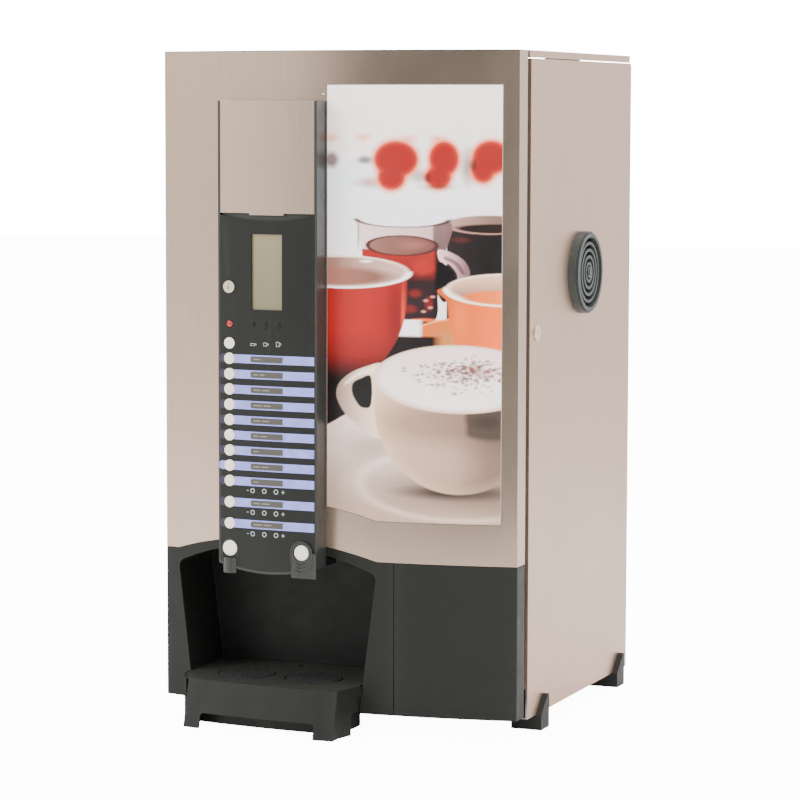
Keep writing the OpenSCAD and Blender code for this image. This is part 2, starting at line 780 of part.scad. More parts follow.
// Points along an arc, leaving out skip points at each end
function arc_points(x, z, r, a0, a1, n, skip = 0) =
    [for (i = [skip : n - skip]) let (a = a0 + (a1 - a0) * i / n) [x + r * cos(a), z + r * sin(a)]];

// The cup bay's opening, grown outwards by e: an arched top, round corners, and sides that draw in
module bay_outline(e) {
    r = bay_corner_r + e;
    ray = atan2(bay_corner_z - bay_arc_z, bay_corner_x);
    low_z = door_z - 5;
    low_x = bay_corner_x + r * cos(bay_taper)
        - (bay_corner_z - r * sin(bay_taper) - low_z) * tan(bay_taper);
    translate([bay_x, 0]) polygon(concat(
        [[-low_x, low_z], [low_x, low_z]],
        arc_points(bay_corner_x, bay_corner_z, r, -bay_taper, ray, 6),
        arc_points(0, bay_arc_z, bay_arc_r + e, ray, 180 - ray, 28, 1),
        arc_points(-bay_corner_x, bay_corner_z, r, 180 - ray, 180 + bay_taper, 6)));
}

// The moulded lower panel below the skin's edge, from x0 to x1
module lower_outline(x0, x1) {
    intersection() {
        translate([x0, door_z]) square([x1 - x0, cabinet_h]);
        union() {
            translate([-wall_x, door_z]) square([cabinet_w, skin_z - 0.3 - door_z]);
            intersection() {
                translate([bay_x, arch_z - 0.3]) circle(r = arch_r, $fn = 360);
                translate([-wall_x, skin_z - 5]) square([cabinet_w, 100]);
            }
        }
    }
}

module cup_bay() {
    color(dark) {
        difference() {
            intersection() {
                along_y(front_y - door_bow - 5, door_bow + door_t + 5)
                    lower_outline(-wall_x, seam_x - 0.3);
                difference() {
                    behind_bow(0);
                    behind_bow(-bay_wall);
                }
            }
            along_y(front_y - door_bow - 6, door_bow + door_t + 10) bay_outline(0);
        }
        difference() {
            intersection() {
                along_y(front_y - door_bow - 5, door_bow + 5 + bay_depth) bay_outline(bay_wall);
                behind_bow(-0.5, door_z);
            }
            along_y(front_y - door_bow - 6, door_bow + 8 + bay_depth) bay_outline(0);
        }
        intersection() {
            along_y(front_y + bay_depth - eps, bay_wall) bay_outline(bay_wall);
            box([-wall_x, front_y, door_z], [wall_x, back_y, cabinet_h]);
        }
        box([-wall_x, front_y + 0.2, door_z], [-wall_x + 1.4, door_back_y, skin_z - 0.3]);
        box([seam_x - 0.3 - bay_wall, bow_y(seam_x) + 1, door_z], [seam_x - 0.3, door_back_y, skin_z - 0.3]);
    }
}

module access_panel() {
    color(dark) {
        intersection() {
            along_y(front_y - door_bow - 5, door_bow + door_t + 5) lower_outline(seam_x + 0.3, wall_x);
            difference() {
                behind_bow(0);
                behind_bow(-bay_wall);
            }
        }
        box([wall_x - bay_wall, front_y + 0.5, door_z], [wall_x, door_back_y, skin_z - 0.3]);
        box([seam_x + 0.3, bow_y(seam_x) + 1, door_z], [seam_x + 0.3 + bay_wall, door_back_y, skin_z - 0.3]);
        box([seam_x + 0.3, door_back_y - bay_wall, skin_z - 34], [wall_x, door_back_y, skin_z - 0.3]);
    }
}

// ---- control column ----
column_arc_r = (column_w * column_w / 4 + column_rise * column_rise) / (2 * column_rise);
// The column's front outline, drawn in by inset, from z0 up to z1
module column_outline(inset, z1) {
    intersection() {
        translate([column_left + inset, column_z + inset])
            square([column_w - 2 * inset, z1 - column_z - inset]);
        union() {
            translate([column_x, column_z + column_arc_r]) circle(r = column_arc_r - inset, $fn = 240);
            translate([column_left, column_z + column_arc_r]) square([column_w, cabinet_h]);
        }
    }
}

// What lies between two surfaces parallel to the bowed face
module bow_layer(out, back) {
    difference() {
        behind_bow(out);
        behind_bow(back);
    }
}

column_cut_y = front_y - door_bow - column_out - 10;
column_cut_l = door_bow + column_out + 30;
flap_pin_r = 2;
flap_pin_y = bow_y(column_left, column_out) + 8;
flap_pin_z = flap_top - 8;
flap_side = column_wall + 0.6;
scoop_r = 319;
scoop_z = 666;
recess_z = 660;
recess_out = 3.2;
recess_t = 1.8;
module control_housing() {
    color(dark) {
        intersection() {
            along_y(column_cut_y, column_cut_l) difference() {
                column_outline(0, column_top);
                column_outline(column_wall, column_top + 5);
            }
            bow_layer(column_out, 0);
        }
        intersection() {
            box([column_left + 1, column_cut_y, recess_z], [column_right - 1, front_y, flap_top - 10]);
            bow_layer(recess_out, recess_out - recess_t);
        }
        intersection() {
            box([column_left + 1, column_cut_y, recess_z - 2], [column_right - 1, front_y, recess_z]);
            bow_layer(column_out - 4, recess_out - recess_t);
        }
        intersection() {
            box([column_left + 1, column_cut_y, recess_z - 1], [column_right - 1, front_y, flap_z - 0.5]);
            bow_layer(column_out - 4, column_out - 6);
        }
        rod_x(column_left + 1, flap_pin_y, flap_pin_z, flap_pin_r, column_wall + 2.4);
        rod_x(column_right - column_wall - 3.4, flap_pin_y, flap_pin_z, flap_pin_r, column_wall + 2.4);
    }
}

button_x = column_left + button_inset;
big_right_x = column_right - 21.6;
small_count = 12;
// Height of drink button i, counted from 1 at the bottom
function drink_z(i) = i == 1 ? button_z : button_z + wide_pitch + max(0, i - 2 - 1) * button_pitch
    + (i > 2 ? wide_pitch : 0);
display_z = 551;
lamp_z = 531.6;
lamp_r = 4.6;
lamp_xs = [-97, -78.5, -60];
front_lock_z = 580;
module control_fascia() {
    color(dark) difference() {
        intersection() {
            along_y(column_cut_y, column_cut_l) column_outline(column_wall + fascia_gap, flap_z - 1);
            bow_layer(column_out, column_out - fascia_t);
        }
        for (i = [1:small_count]) rod_y(button_x, column_cut_y, drink_z(i), button_r + button_gap, 60);
        for (x = [button_x, big_right_x])
            rod_y(x, column_cut_y, big_button_z, big_button_r + button_gap, 60);
        along_y(column_cut_y, 60) translate([display_x - display_w / 2, display_z])
            square([display_w, display_h]);
        rod_y(button_x, column_cut_y, front_lock_z, lock_r + 0.3, 60);
        rod_y(button_x, column_cut_y, lamp_z, lamp_r + 0.5, 60);
        for (x = lamp_xs) rod_y(x, column_cut_y, lamp_z, lamp_r + 0.3, 60);
        along_y(column_cut_y, 60) translate([column_x, scoop_z + scoop_r]) circle(r = scoop_r, $fn = 240);
    }
}

module display() {
    color("darkkhaki") intersection() {
        box([display_x - display_w / 2 - 6, column_cut_y, display_z - 6],
            [display_x + display_w / 2 + 6, front_y, display_z + display_h + 6]);
        bow_layer(column_out - fascia_t, column_out - fascia_t - 4);
    }
}

insert_w = 47;
insert_h = 7.7;
module label_strips() {
    for (i = [1:small_count - 1]) {
        color("lavender") difference() {
            bow_sheet(column_out + 0.52, 0.5,
                      column_left + column_wall + 0.6, column_right - column_wall - 0.6,
                      drink_z(i) - stripe_h / 2, drink_z(i) + stripe_h / 2);
            rod_y(button_x, column_cut_y, drink_z(i), button_r + button_gap, 60);
        }
        color("olive")
            bow_sheet(column_out + 0.82, 0.3, display_x - insert_w / 2, display_x + insert_w / 2,
                      drink_z(i) - insert_h / 2, drink_z(i) + insert_h / 2);
    }
}

module indicator_lamps() {
    color("firebrick") lamp(button_x);
    color("black") for (x = lamp_xs) lamp(x);
}

module lamp(x) {
    y = bow_y(x, column_out);
    rod_y(x, y - 0.8, lamp_z, lamp_r, 12);
}

module front_lock() {
    y = bow_y(button_x, column_out);
    color("silver") difference() {
        union() {
            rod_y(button_x, y - 3, front_lock_z, lock_r, 22);
            rod_y(button_x, y + 18.9, front_lock_z, 4, 3);
            box([button_x - 5, y + 20, front_lock_z - 18], [button_x + 5, y + 22, front_lock_z + 5]);
        }
        box([button_x - 0.7, y - 4, front_lock_z - 4], [button_x + 0.7, y - 1, front_lock_z + 4]);
        rod_y(button_x, y - 4, front_lock_z, 1.8, 3);
    }
}

module service_flap() {
    color(steel) {
        bow_sheet(column_out, sheet_t, column_left + flap_side, column_right - flap_side, flap_z, flap_top);
        bow_sheet(column_out, sheet_t, column_x - tab_w / 2, column_x + tab_w / 2, flap_z - 2.4, flap_z + 1);
        bow_sheet(column_out - 0.2, 9, column_left + flap_side, column_right - flap_side,
                  flap_top - sheet_t, flap_top);
        for (x = [column_left + flap_side, column_right - flap_side - sheet_t]) difference() {
            box([x, bow_y(x, column_out) + 1, flap_pin_z - 6],
                [x + sheet_t, flap_pin_y + 5, flap_pin_z + 6]);
            rod_x(x - 1, flap_pin_y, flap_pin_z, flap_pin_r + pin_play, sheet_t + 2);
        }
    }
}

// A push button: a domed cap on a stem
module push_button(x, z, r) {
    y = bow_y(x, column_out);
    color(ivory) translate([x, y - button_out, z]) rotate([-90, 0, 0]) {
        rotate_extrude() intersection() {
            translate([0, 3 * r]) circle(r = 3 * r, $fn = 180);
            square([r, 8]);
        }
        translate([0, 0, 7]) cylinder(r = 3, h = 9);
    }
}

module spouts() {
    tab_half = 14.2;
    color(dark) {
        difference() {
            intersection() {
                along_y(column_cut_y, column_cut_l) difference() {
                    union() {
                        translate([big_right_x, big_button_z]) circle(r = tab_half);
                        translate([big_right_x - tab_half, column_z - 2])
                            square([column_right - big_right_x + tab_half, big_button_z - column_z + 2]);
                    }
                    translate([big_right_x, big_button_z]) circle(r = big_button_r + 1);
                }
                bow_layer(column_out + 2.6, column_out + 0.1);
                box([column_left, column_cut_y, 0], [column_right - 0.5, front_y, cabinet_h]);
            }
            for (k = [0:2]) translate([big_right_x, 0, column_z + 5 + k * 5])
                for (side = [-1, 1]) rotate([0, side * 25, 0])
                    box([side > 0 ? -7 : 0, column_cut_y, 0],
                        [side > 0 ? 0 : 7, bow_y(big_right_x, column_out + 1.6), 1.4]);
        }
        intersection() {
            translate([button_x, bow_y(button_x, column_out) + 6.5, column_z - 1.5])
                cylinder(r = 12, h = big_button_z - column_z - big_button_r - 1);
            bow_layer(column_out + 6, column_out + 0.1);
        }
        // the carrier behind the column, with its nozzles, hung from the top of the bay
        difference() {
            intersection() {
                along_y(front_y - door_bow, door_bow + 50) intersection() {
                    bay_outline(-0.3);
                    translate([column_left + 20, column_z + 4]) square([column_w - 40, 60]);
                }
                behind_bow(-4);
            }
            for (x = nozzle_xs) translate([x, nozzle_y, column_z - 30]) cylinder(r = 3.5, h = 60);
        }
        for (x = nozzle_xs) difference() {
            translate([x, nozzle_y, column_z - 6]) cylinder(r = 6, h = 11);
            translate([x, nozzle_y, column_z - 30]) cylinder(r = 3.5, h = 60);
        }
    }
}
nozzle_xs = [column_x - 30, column_x + 30];
nozzle_y = front_y + 6;

// ---- drip tray ----
rear_floor_z = door_z + 3;
tray_back_y = front_y + bay_depth - 2;
apron_out = tray_reach - apron_lean - door_bow;
apron_x = bay_x + apron_shift;
leg_w = 24;
basin_z = 4;
bay_mouth_y = front_y - 4;
// The tray's plan: the apron's width in front, the bay's width behind
module tray_plan(inset) {
    half = bay_half - (bay_corner_z - tray_z) * tan(bay_taper) - 1;
    polygon([[apron_x - apron_w / 2 + inset, front_y - tray_reach - 20],
             [apron_x + apron_w / 2 - inset, front_y - tray_reach - 20],
             [apron_x + apron_w / 2 - inset, bow_y(bay_x, apron_out)],
             [bay_x + half - inset, front_y - door_bow],
             [bay_x + half - inset, tray_back_y - inset],
             [bay_x - half + inset, tray_back_y - inset],
             [bay_x - half + inset, front_y - door_bow],
             [apron_x - apron_w / 2 + inset, bow_y(bay_x, apron_out)]]);
}

// A sheet that leans forward to the floor, parallel to the bowed face
module leaning_apron(t) {
    translate([0, bow_axis_y, 0]) difference() {
        cylinder(r1 = bow_r + apron_out + apron_lean, r2 = bow_r + apron_out, h = tray_z, $fn = 360);
        translate([0, 0, -eps]) cylinder(r1 = bow_r + apron_out + apron_lean - t,
                                         r2 = bow_r + apron_out - t, h = tray_z + 2 * eps, $fn = 360);
    }
}

module apron_arch_outline() {
    r = 5;
    x0 = apron_x - apron_w / 2 + leg_w;
    x1 = apron_x + apron_w / 2 - leg_w - 4;
    union() {
        translate([x0, -1]) square([x1 - x0, apron_arch - r + 1]);
        translate([x0 + r, -1]) square([x1 - x0 - 2 * r, apron_arch + 1]);
        for (x = [x0 + r, x1 - r]) translate([x, apron_arch - r]) circle(r = r);
    }
}

cheek_l = 46;
// Basin: deep ahead of the door, shallow inside the bay; open on top
module tray_body(inset, low_front, low_rear, top) {
    intersection() {
        translate([0, 0, low_rear]) linear_extrude(top - low_rear) tray_plan(inset);
        translate([0, bow_axis_y, 0]) cylinder(r = bow_r + apron_out - 8 - inset, h = cabinet_h, $fn = 360);
        along_y(front_y - tray_reach, 400) bay_outline(-0.8 - inset);
    }
    intersection() {
        translate([0, 0, low_front]) linear_extrude(top - low_front) tray_plan(inset + 12);
        translate([0, bow_axis_y, 0]) cylinder(r = bow_r + apron_out - 8 - inset, h = cabinet_h, $fn = 360);
        box([-wall_x, -far, 0], [wall_x, bay_mouth_y - inset, cabinet_h]);
    }
}

plate_t = 2.5;
bay_rest_y = front_y + 4;
module drip_tray() {
    color(dark) {
        difference() {
            tray_body(0, basin_z, rear_floor_z, tray_z - plate_t - 0.3);
            tray_body(tray_wall, basin_z + tray_wall, rear_floor_z + tray_wall, tray_z + 5);
        }
        difference() {
            intersection() {
                leaning_apron(tray_wall);
                box([apron_x - apron_w / 2, -far, 0], [apron_x + apron_w / 2, front_y, tray_z]);
            }
            along_y(front_y - tray_reach - 30, 200) apron_arch_outline();
        }
        difference() {
            intersection() {
                linear_extrude(tray_z) difference() {
                    tray_plan(0);
                    tray_plan(tray_wall);
                }
                box([-wall_x, -far, 0], [wall_x, front_y + 3, tray_z]);
                translate([0, bow_axis_y, 0]) cylinder(r1 = bow_r + apron_out + apron_lean - eps,
                                                       r2 = bow_r + apron_out - eps, h = tray_z, $fn = 360);
            }
            translate([0, bow_axis_y, -1]) cylinder(r = bow_r + apron_out + apron_lean - cheek_l,
                                                    h = tray_z - 14, $fn = 360);
            behind_bow(0.6);
        }
        // ties between the apron and the basin's front wall
        intersection() {
            for (x = [bay_x - 70, bay_x, bay_x + 70])
                box([x - 3, -far, 30], [x + 3, far, tray_z - plate_t - 4]);
            difference() {
                translate([0, bow_axis_y, 0]) cylinder(r1 = bow_r + apron_out + apron_lean - eps,
                                                       r2 = bow_r + apron_out - eps, h = tray_z, $fn = 360);
                translate([0, bow_axis_y, -1]) cylinder(r = bow_r + apron_out - 9, h = tray_z + 2, $fn = 360);
            }
            box([-wall_x, -far, 0], [wall_x, front_y, cabinet_h]);
        }
    }
}

stand_xs = [bay_x - stand_pitch / 2, bay_x + stand_pitch / 2];
stand_y = front_y - 2;
module tray_plate() {
    top = tray_z;
    color(dark) difference() {
        intersection() {
            translate([0, 0, top - plate_t]) linear_extrude(plate_t) union() {
                tray_plan(tray_wall + 0.5);
                intersection() {
                    tray_plan(0.8);
                    translate([-wall_x, bay_rest_y]) square([cabinet_w, cabinet_d]);
                }
            }
            translate([0, bow_axis_y, 0])
                cylinder(r = bow_r + apron_out - tray_wall - 0.6, h = cabinet_h, $fn = 360);
            along_y(front_y - tray_reach, 400) bay_outline(-1.2);
        }
        for (x = stand_xs) {
            translate([x, stand_y, top - plate_t + 1]) cylinder(r = stand_r + stand_groove, h = 5);
            translate([x, stand_y, top - plate_t - 1]) cylinder(r = stand_r - 3, h = 5);
        }
        translate([bay_x, tray_back_y - 18, top - plate_t - 1]) cylinder(r = 7, h = 5);
    }
}

stand_hole_r = 2.4;
stand_hole_pitch = 7.5;
stand_rows = 4;
module cup_stands() {
    color("dimgray") for (x = stand_xs) difference() {
        translate([x, stand_y, tray_z - plate_t + 1]) cylinder(r = stand_r, h = 2);
        for (row = [-stand_rows:stand_rows], col = [-stand_rows:stand_rows])
            if (norm([row, col]) < stand_rows + 0.3)
                translate([x + col * stand_hole_pitch, stand_y + row * stand_hole_pitch, 0])
                    cylinder(r = stand_hole_r, h = tray_z + 5, $fn = 24);
    }
}

// ---- placing each piece ----
base_pan();
left_side_panel();
right_side_panel();
back_panel();
feet();
hinge_brackets();
chassis();
canisters();
mixing_bowls();
boiler();
brewer_body();
drive_motors();
hoses();
waste_bin();
electronics();
canister_lids();
mains_inlet();
water_inlet();
fan_frame();
vent_grille();
fasteners();
top_lid();
side_lock();
fan_rotor();
auger(canister_xs[0]);  // auger_left
auger(canister_xs[1]);  // auger_middle
auger(canister_xs[2]);  // auger_right
whipper(bowl_xs[0]);  // whipper_middle
whipper(bowl_xs[1]);  // whipper_right
brewer_piston();
door_skin();
door_frame();
poster_panel();
cup_bay();
access_panel();
control_housing();
control_fascia();
display();
label_strips();
indicator_lamps();
front_lock();
service_flap();
spouts();
drip_tray();
tray_plate();
cup_stands();
push_button(button_x, drink_z(1), button_r);  // drink_button_01
push_button(button_x, drink_z(2), button_r);  // drink_button_02
push_button(button_x, drink_z(3), button_r);  // drink_button_03
push_button(button_x, drink_z(4), button_r);  // drink_button_04
push_button(button_x, drink_z(5), button_r);  // drink_button_05
push_button(button_x, drink_z(6), button_r);  // drink_button_06
push_button(button_x, drink_z(7), button_r);  // drink_button_07
push_button(button_x, drink_z(8), button_r);  // drink_button_08
push_button(button_x, drink_z(9), button_r);  // drink_button_09
push_button(button_x, drink_z(10), button_r);  // drink_button_10
push_button(button_x, drink_z(11), button_r);  // drink_button_11
push_button(button_x, drink_z(12), button_r);  // drink_button_12
push_button(button_x, big_button_z, big_button_r);  // big_button_left
push_button(big_right_x, big_button_z, big_button_r);  // big_button_right
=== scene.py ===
"""Looks of a table-top hot drinks vending machine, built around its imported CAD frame. Metres throughout."""

import json
import math
import random

import bmesh
import bpy
import numpy as np
from mathutils import Matrix, Vector
from mathutils.bvhtree import BVHTree


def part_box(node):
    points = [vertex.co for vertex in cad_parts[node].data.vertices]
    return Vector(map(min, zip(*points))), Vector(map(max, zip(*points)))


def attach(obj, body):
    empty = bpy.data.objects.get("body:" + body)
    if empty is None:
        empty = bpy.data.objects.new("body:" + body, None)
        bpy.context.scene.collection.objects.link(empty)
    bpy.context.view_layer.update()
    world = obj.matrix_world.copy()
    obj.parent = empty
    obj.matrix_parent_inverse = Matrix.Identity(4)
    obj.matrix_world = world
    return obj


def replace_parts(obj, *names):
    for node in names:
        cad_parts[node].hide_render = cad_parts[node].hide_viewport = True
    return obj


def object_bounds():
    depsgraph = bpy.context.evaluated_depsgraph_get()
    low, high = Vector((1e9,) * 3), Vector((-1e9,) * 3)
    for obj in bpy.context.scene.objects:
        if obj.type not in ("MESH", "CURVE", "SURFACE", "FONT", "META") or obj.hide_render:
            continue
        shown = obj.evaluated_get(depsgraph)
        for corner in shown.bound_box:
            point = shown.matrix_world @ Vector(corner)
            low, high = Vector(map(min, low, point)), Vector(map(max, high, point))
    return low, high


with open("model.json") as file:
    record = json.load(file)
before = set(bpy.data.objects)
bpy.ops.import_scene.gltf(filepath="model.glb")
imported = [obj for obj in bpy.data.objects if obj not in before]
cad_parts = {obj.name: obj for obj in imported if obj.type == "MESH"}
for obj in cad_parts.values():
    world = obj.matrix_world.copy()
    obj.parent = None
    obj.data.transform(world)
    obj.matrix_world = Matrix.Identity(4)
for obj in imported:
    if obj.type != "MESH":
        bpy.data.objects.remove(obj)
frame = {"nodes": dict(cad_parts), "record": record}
CAD_LOW, CAD_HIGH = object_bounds()
MM = 0.001
BODY_OF = {node: body for body, nodes in frame["record"]["behaviour"]["bodies"].items() for node in nodes}
SLOT_OF = {part["node"]: part["material_slot"] for part in frame["record"]["subparts"]}

# ---------------------------------------------------------------- places taken from the frame
SKIN_LOW, SKIN_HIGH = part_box("door_skin")
DOOR_T = 29 * MM
FRONT_Y = SKIN_HIGH.y - DOOR_T
BOW = FRONT_Y - SKIN_LOW.y
HALF_W = SKIN_HIGH.x
BOW_R = (HALF_W ** 2 + BOW ** 2) / (2 * BOW)
BOW_AXIS_Y = FRONT_Y + BOW_R - BOW
FASCIA_OUT = 30 * MM  # how far the column's front plate stands ahead of the door
LAMP_PITCH = 18.5 * MM
LAMP_LEFT = 2.3 * MM  # how far the middle lamp stands to the left of the window's middle


def bow_y(x, out=0.0):
    """Y of the surface parallel to the bowed door face, out ahead of it, at x."""
    return BOW_AXIS_Y - math.sqrt((BOW_R + out) ** 2 - x * x)


# ---------------------------------------------------------------- camera
def make_camera():
    """The camera stands to the right of the door, a little above its middle, looking slightly down."""
    yaw, pitch, roll = math.radians(21.94), math.radians(-5.4), math.radians(0.14)
    cam = bpy.data.objects.new("camera", bpy.data.cameras.new("camera"))
    bpy.context.scene.collection.objects.link(cam)
    cam.data.sensor_width = 36.0
    cam.data.lens = 135.94
    cam.matrix_world = (
        Matrix.Translation((1.5433, FRONT_Y - 3.6148, 0.8037))
        @ Matrix.Rotation(yaw, 4, "Z")
        @ Matrix.Rotation(math.radians(90) + pitch, 4, "X")
        @ Matrix.Rotation(roll, 4, "Z")
    )
    bpy.context.scene.camera = cam


# ---------------------------------------------------------------- colour and node helpers
LIGHT = 2.5  # brightness of a white surface in this studio
MID_GREY = 0.18
PAPER = 0.95
PRINT_GLOW = 0.7  # how strongly the poster's print glows with its own colour: a painted glow that brightens it, with no lamp behind it


def linear(r, g, b, light=LIGHT):
    """The reflectance that the default view shows as about this colour, 0 to 255, in this studio."""
    def share(c):
        shown = min(max(c / 255, 0.004), 0.985)
        stops = (math.log(shown / (1 - shown)) + 0.148) / 0.575
        return MID_GREY * 2 ** stops / light
    parts = [share(c) for c in (r, g, b)]
    vivid = 1 - min(parts) / max(parts)
    parts = [c * (1 - 0.62 * vivid ** 6 * c / max(parts)) for c in parts]
    return tuple(c / (1 + (c / PAPER) ** 4) ** 0.25 for c in parts) + (1.0,)


def scaled(colour, k):
    return tuple(min(1.0, c * k) for c in colour[:3]) + (1.0,)


class Nodes:
    """A material's node tree with a few short-hands."""

    def __init__(self, name):
        self.material = bpy.data.materials.new(name)
        self.material.use_nodes = True
        self.tree = self.material.node_tree
        self.tree.nodes.clear()
        self.shader = self.add("ShaderNodeBsdfPrincipled")
        out = self.add("ShaderNodeOutputMaterial")
        self.link(self.shader.outputs["BSDF"], out.inputs["Surface"])
        self.place = self.add("ShaderNodeTexCoord").outputs["Object"]

    def add(self, kind, **settings):
        node = self.tree.nodes.new(kind)
        for key, value in settings.items():
            setattr(node, key, value)
        return node

    def link(self, a, b):
        self.tree.links.new(a, b)

    def noise(self, scale, stretch=(1, 1, 1), detail=3.0, rough=0.55):
        """Noise over the object's own coordinates; scale is features per metre."""
        mapping = self.add("ShaderNodeMapping")
        mapping.inputs["Scale"].default_value = [scale * s for s in stretch]
        self.link(self.place, mapping.inputs["Vector"])
        node = self.add("ShaderNodeTexNoise")
        node.inputs["Scale"].default_value = 1.0
        node.inputs["Detail"].default_value = detail
        node.inputs["Roughness"].default_value = rough
        self.link(mapping.outputs["Vector"], node.inputs["Vector"])
        return node.outputs["Fac"]

    def spread(self, value, low, high, from_low=0.3, from_high=0.7):
        """A 0 to 1 field mapped to low..high."""
        node = self.add("ShaderNodeMapRange")
        node.inputs["From Min"].default_value = from_low
        node.inputs["From Max"].default_value = from_high
        node.inputs["To Min"].default_value = low
        node.inputs["To Max"].default_value = high
        self.link(value, node.inputs["Value"])
        return node.outputs["Result"]

    def mix(self, factor, a, b):
        """Colours a and b, mixed by a field; each may be a colour or a socket."""
        node = self.add("ShaderNodeMix", data_type="RGBA")
        self.link(factor, node.inputs["Factor"])
        for socket, value in ((node.inputs[6], a), (node.inputs[7], b)):
            if isinstance(value, bpy.types.NodeSocket):
                self.link(value, socket)
            else:
                socket.default_value = value
        return node.outputs[2]

    def colour(self, socket):
        self.link(socket, self.shader.inputs["Base Color"])

    def roughness(self, socket):
        self.link(socket, self.shader.inputs["Roughness"])

    def bump(self, *layers):
        """Bump from (field, strength, depth in metres) layers, one on another."""
        before = None
        for field, strength, depth in layers:
            node = self.add("ShaderNodeBump")
            node.inputs["Strength"].default_value = strength
            node.inputs["Distance"].default_value = depth
            self.link(field, node.inputs["Height"])
            if before is not None:
                self.link(before, node.inputs["Normal"])
            before = node.outputs["Normal"]
        self.link(before, self.shader.inputs["Normal"])

    def set(self, **values):
        for key, value in values.items():
            self.shader.inputs[key.replace("_", " ")].default_value = value


# ---------------------------------------------------------------- materials
def brushed_steel(name, base, rough=0.3, grain=(1, 1, 0.012)):
    """Fine brushed sheet: long grain lines in colour, roughness and bump, with faint handling clouds."""
    n = Nodes(name)
    lines = n.noise(1500, grain, detail=2)
    fine = n.noise(4200, grain, detail=1)
    clouds = n.noise(5, detail=4)
    tone = n.mix(n.spread(lines, 0, 1), scaled(base, 0.93), scaled(base, 1.06))
    n.colour(n.mix(n.spread(clouds, 0.0, 0.22), tone, scaled(base, 0.86)))
    n.roughness(n.spread(clouds, rough - 0.03, rough + 0.05))
    n.bump((lines, 0.10, 0.00004), (fine, 0.06, 0.00002))
    n.set(Metallic=0.92, Anisotropic=0.45)
    return n.material


def moulded_plastic(name, base, rough=0.5, texture=0.3, edge=1.5, gloss=0.5):
    """Moulded plastic: a fine spark-eroded texture, slow tone changes and paler edges, which are a painted
    highlight.
    """
    n = Nodes(name)
    grain = n.noise(1700, detail=2)
    clouds = n.noise(9, detail=4)
    scuffs = n.noise(60, (1, 1, 6), detail=5)
    tone = n.mix(n.spread(clouds, 0, 1), scaled(base, 0.9), scaled(base, 1.1))
    tone = n.mix(n.spread(scuffs, 0, 0.5, 0.62, 0.8), tone, scaled(base, 1.25))
    # painted highlight: convex edges are drawn paler, by the edge factor, in place of the light they catch
    painted_edge_highlight = n.add("ShaderNodeNewGeometry").outputs["Pointiness"]
    n.colour(n.mix(n.spread(painted_edge_highlight, 0, 0.7, 0.52, 0.6), tone, scaled(base, edge)))
    n.roughness(n.spread(n.noise(40, detail=4), rough - 0.05, rough + 0.07))
    n.bump((grain, texture, 0.00008), (clouds, 0.05, 0.0004))
    n.set(IOR=1.5, Specular_IOR_Level=gloss)
    return n.material


def smooth_plastic(name, base, rough=0.25, coat=0.0):
    """Glossy or satin plastic with a faint ripple and dust-like roughness changes."""
    n = Nodes(name)
    clouds = n.noise(14, detail=4)
    n.colour(n.mix(n.spread(clouds, 0, 1), scaled(base, 0.95), scaled(base, 1.04)))
    n.roughness(n.spread(n.noise(120, detail=4), rough - 0.04, rough + 0.06))
    n.bump((n.noise(300, detail=2), 0.04, 0.0001))
    n.set(IOR=1.49, Coat_Weight=coat, Coat_Roughness=0.1)
    return n.material


def galvanised(name, base):
    """Zinc-coated sheet with its crystal spangle."""
    n = Nodes(name)
    cells = n.add("ShaderNodeTexVoronoi")
    cells.inputs["Scale"].default_value = 90
    n.link(n.place, cells.inputs["Vector"])
    grey = n.add("ShaderNodeSeparateColor")
    n.link(cells.outputs["Color"], grey.inputs["Color"])
    n.colour(n.mix(grey.outputs[0], scaled(base, 0.82), scaled(base, 1.1)))
    n.roughness(n.spread(grey.outputs[1], 0.34, 0.5, 0, 1))
    n.bump((n.noise(500, detail=3), 0.12, 0.00006))
    n.set(Metallic=0.9)
    return n.material


def plain_metal(name, base, rough=0.2, scratches=0.1):
    """Plated or machined metal with hair scratches."""
    n = Nodes(name)
    hairs = n.noise(2600, (1, 0.05, 1), detail=3)
    n.colour(n.mix(n.spread(n.noise(70), 0, 1), scaled(base, 0.9), scaled(base, 1.05)))
    n.roughness(n.spread(hairs, rough - 0.05, rough + 0.12))
    n.bump((hairs, scratches, 0.00003))
    n.set(Metallic=1.0)
    return n.material


def rubber(name, base):
    n = Nodes(name)
    grain = n.noise(2300, detail=3)
    n.colour(n.mix(n.spread(n.noise(30), 0, 1), scaled(base, 0.8), scaled(base, 1.25)))
    n.roughness(n.spread(grain, 0.66, 0.85))
    n.bump((grain, 0.35, 0.0001))
    return n.material


def translucent(name, base, weight=0.35, rough=0.3):
    """Milky plastic or silicone that lets some light into itself."""
    n = Nodes(name)
    n.colour(n.mix(n.spread(n.noise(25), 0, 1), scaled(base, 0.94), scaled(base, 1.03)))
    n.roughness(n.spread(n.noise(200), rough - 0.05, rough + 0.1))
    n.bump((n.noise(700), 0.1, 0.00006))
    n.set(Subsurface_Weight=weight, Subsurface_Scale=0.004, IOR=1.45)
    return n.material


def display_glass(name):
    """A grey-green liquid crystal panel with its fine pixel rows under a clear film."""
    n = Nodes(name)
    split = n.add("ShaderNodeSeparateXYZ")
    n.link(n.place, split.inputs["Vector"])
    rows = n.add("ShaderNodeTexWave", wave_type="BANDS", bands_direction="Z")
    rows.inputs["Scale"].default_value = 300
    n.link(n.place, rows.inputs["Vector"])
    low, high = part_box("display")
    shade = n.spread(split.outputs["Z"], 0, 1, low.z, high.z)
    tone = n.mix(shade, linear(164, 158, 126), linear(180, 172, 140))
    n.colour(n.mix(n.spread(rows.outputs["Fac"], 0, 0.12, 0, 1), tone, linear(140, 136, 108)))
    n.roughness(n.spread(n.noise(80), 0.28, 0.4))
    n.bump((n.noise(900), 0.03, 0.00004))
    n.set(Coat_Weight=0.3, Coat_Roughness=0.08)
    return n.material


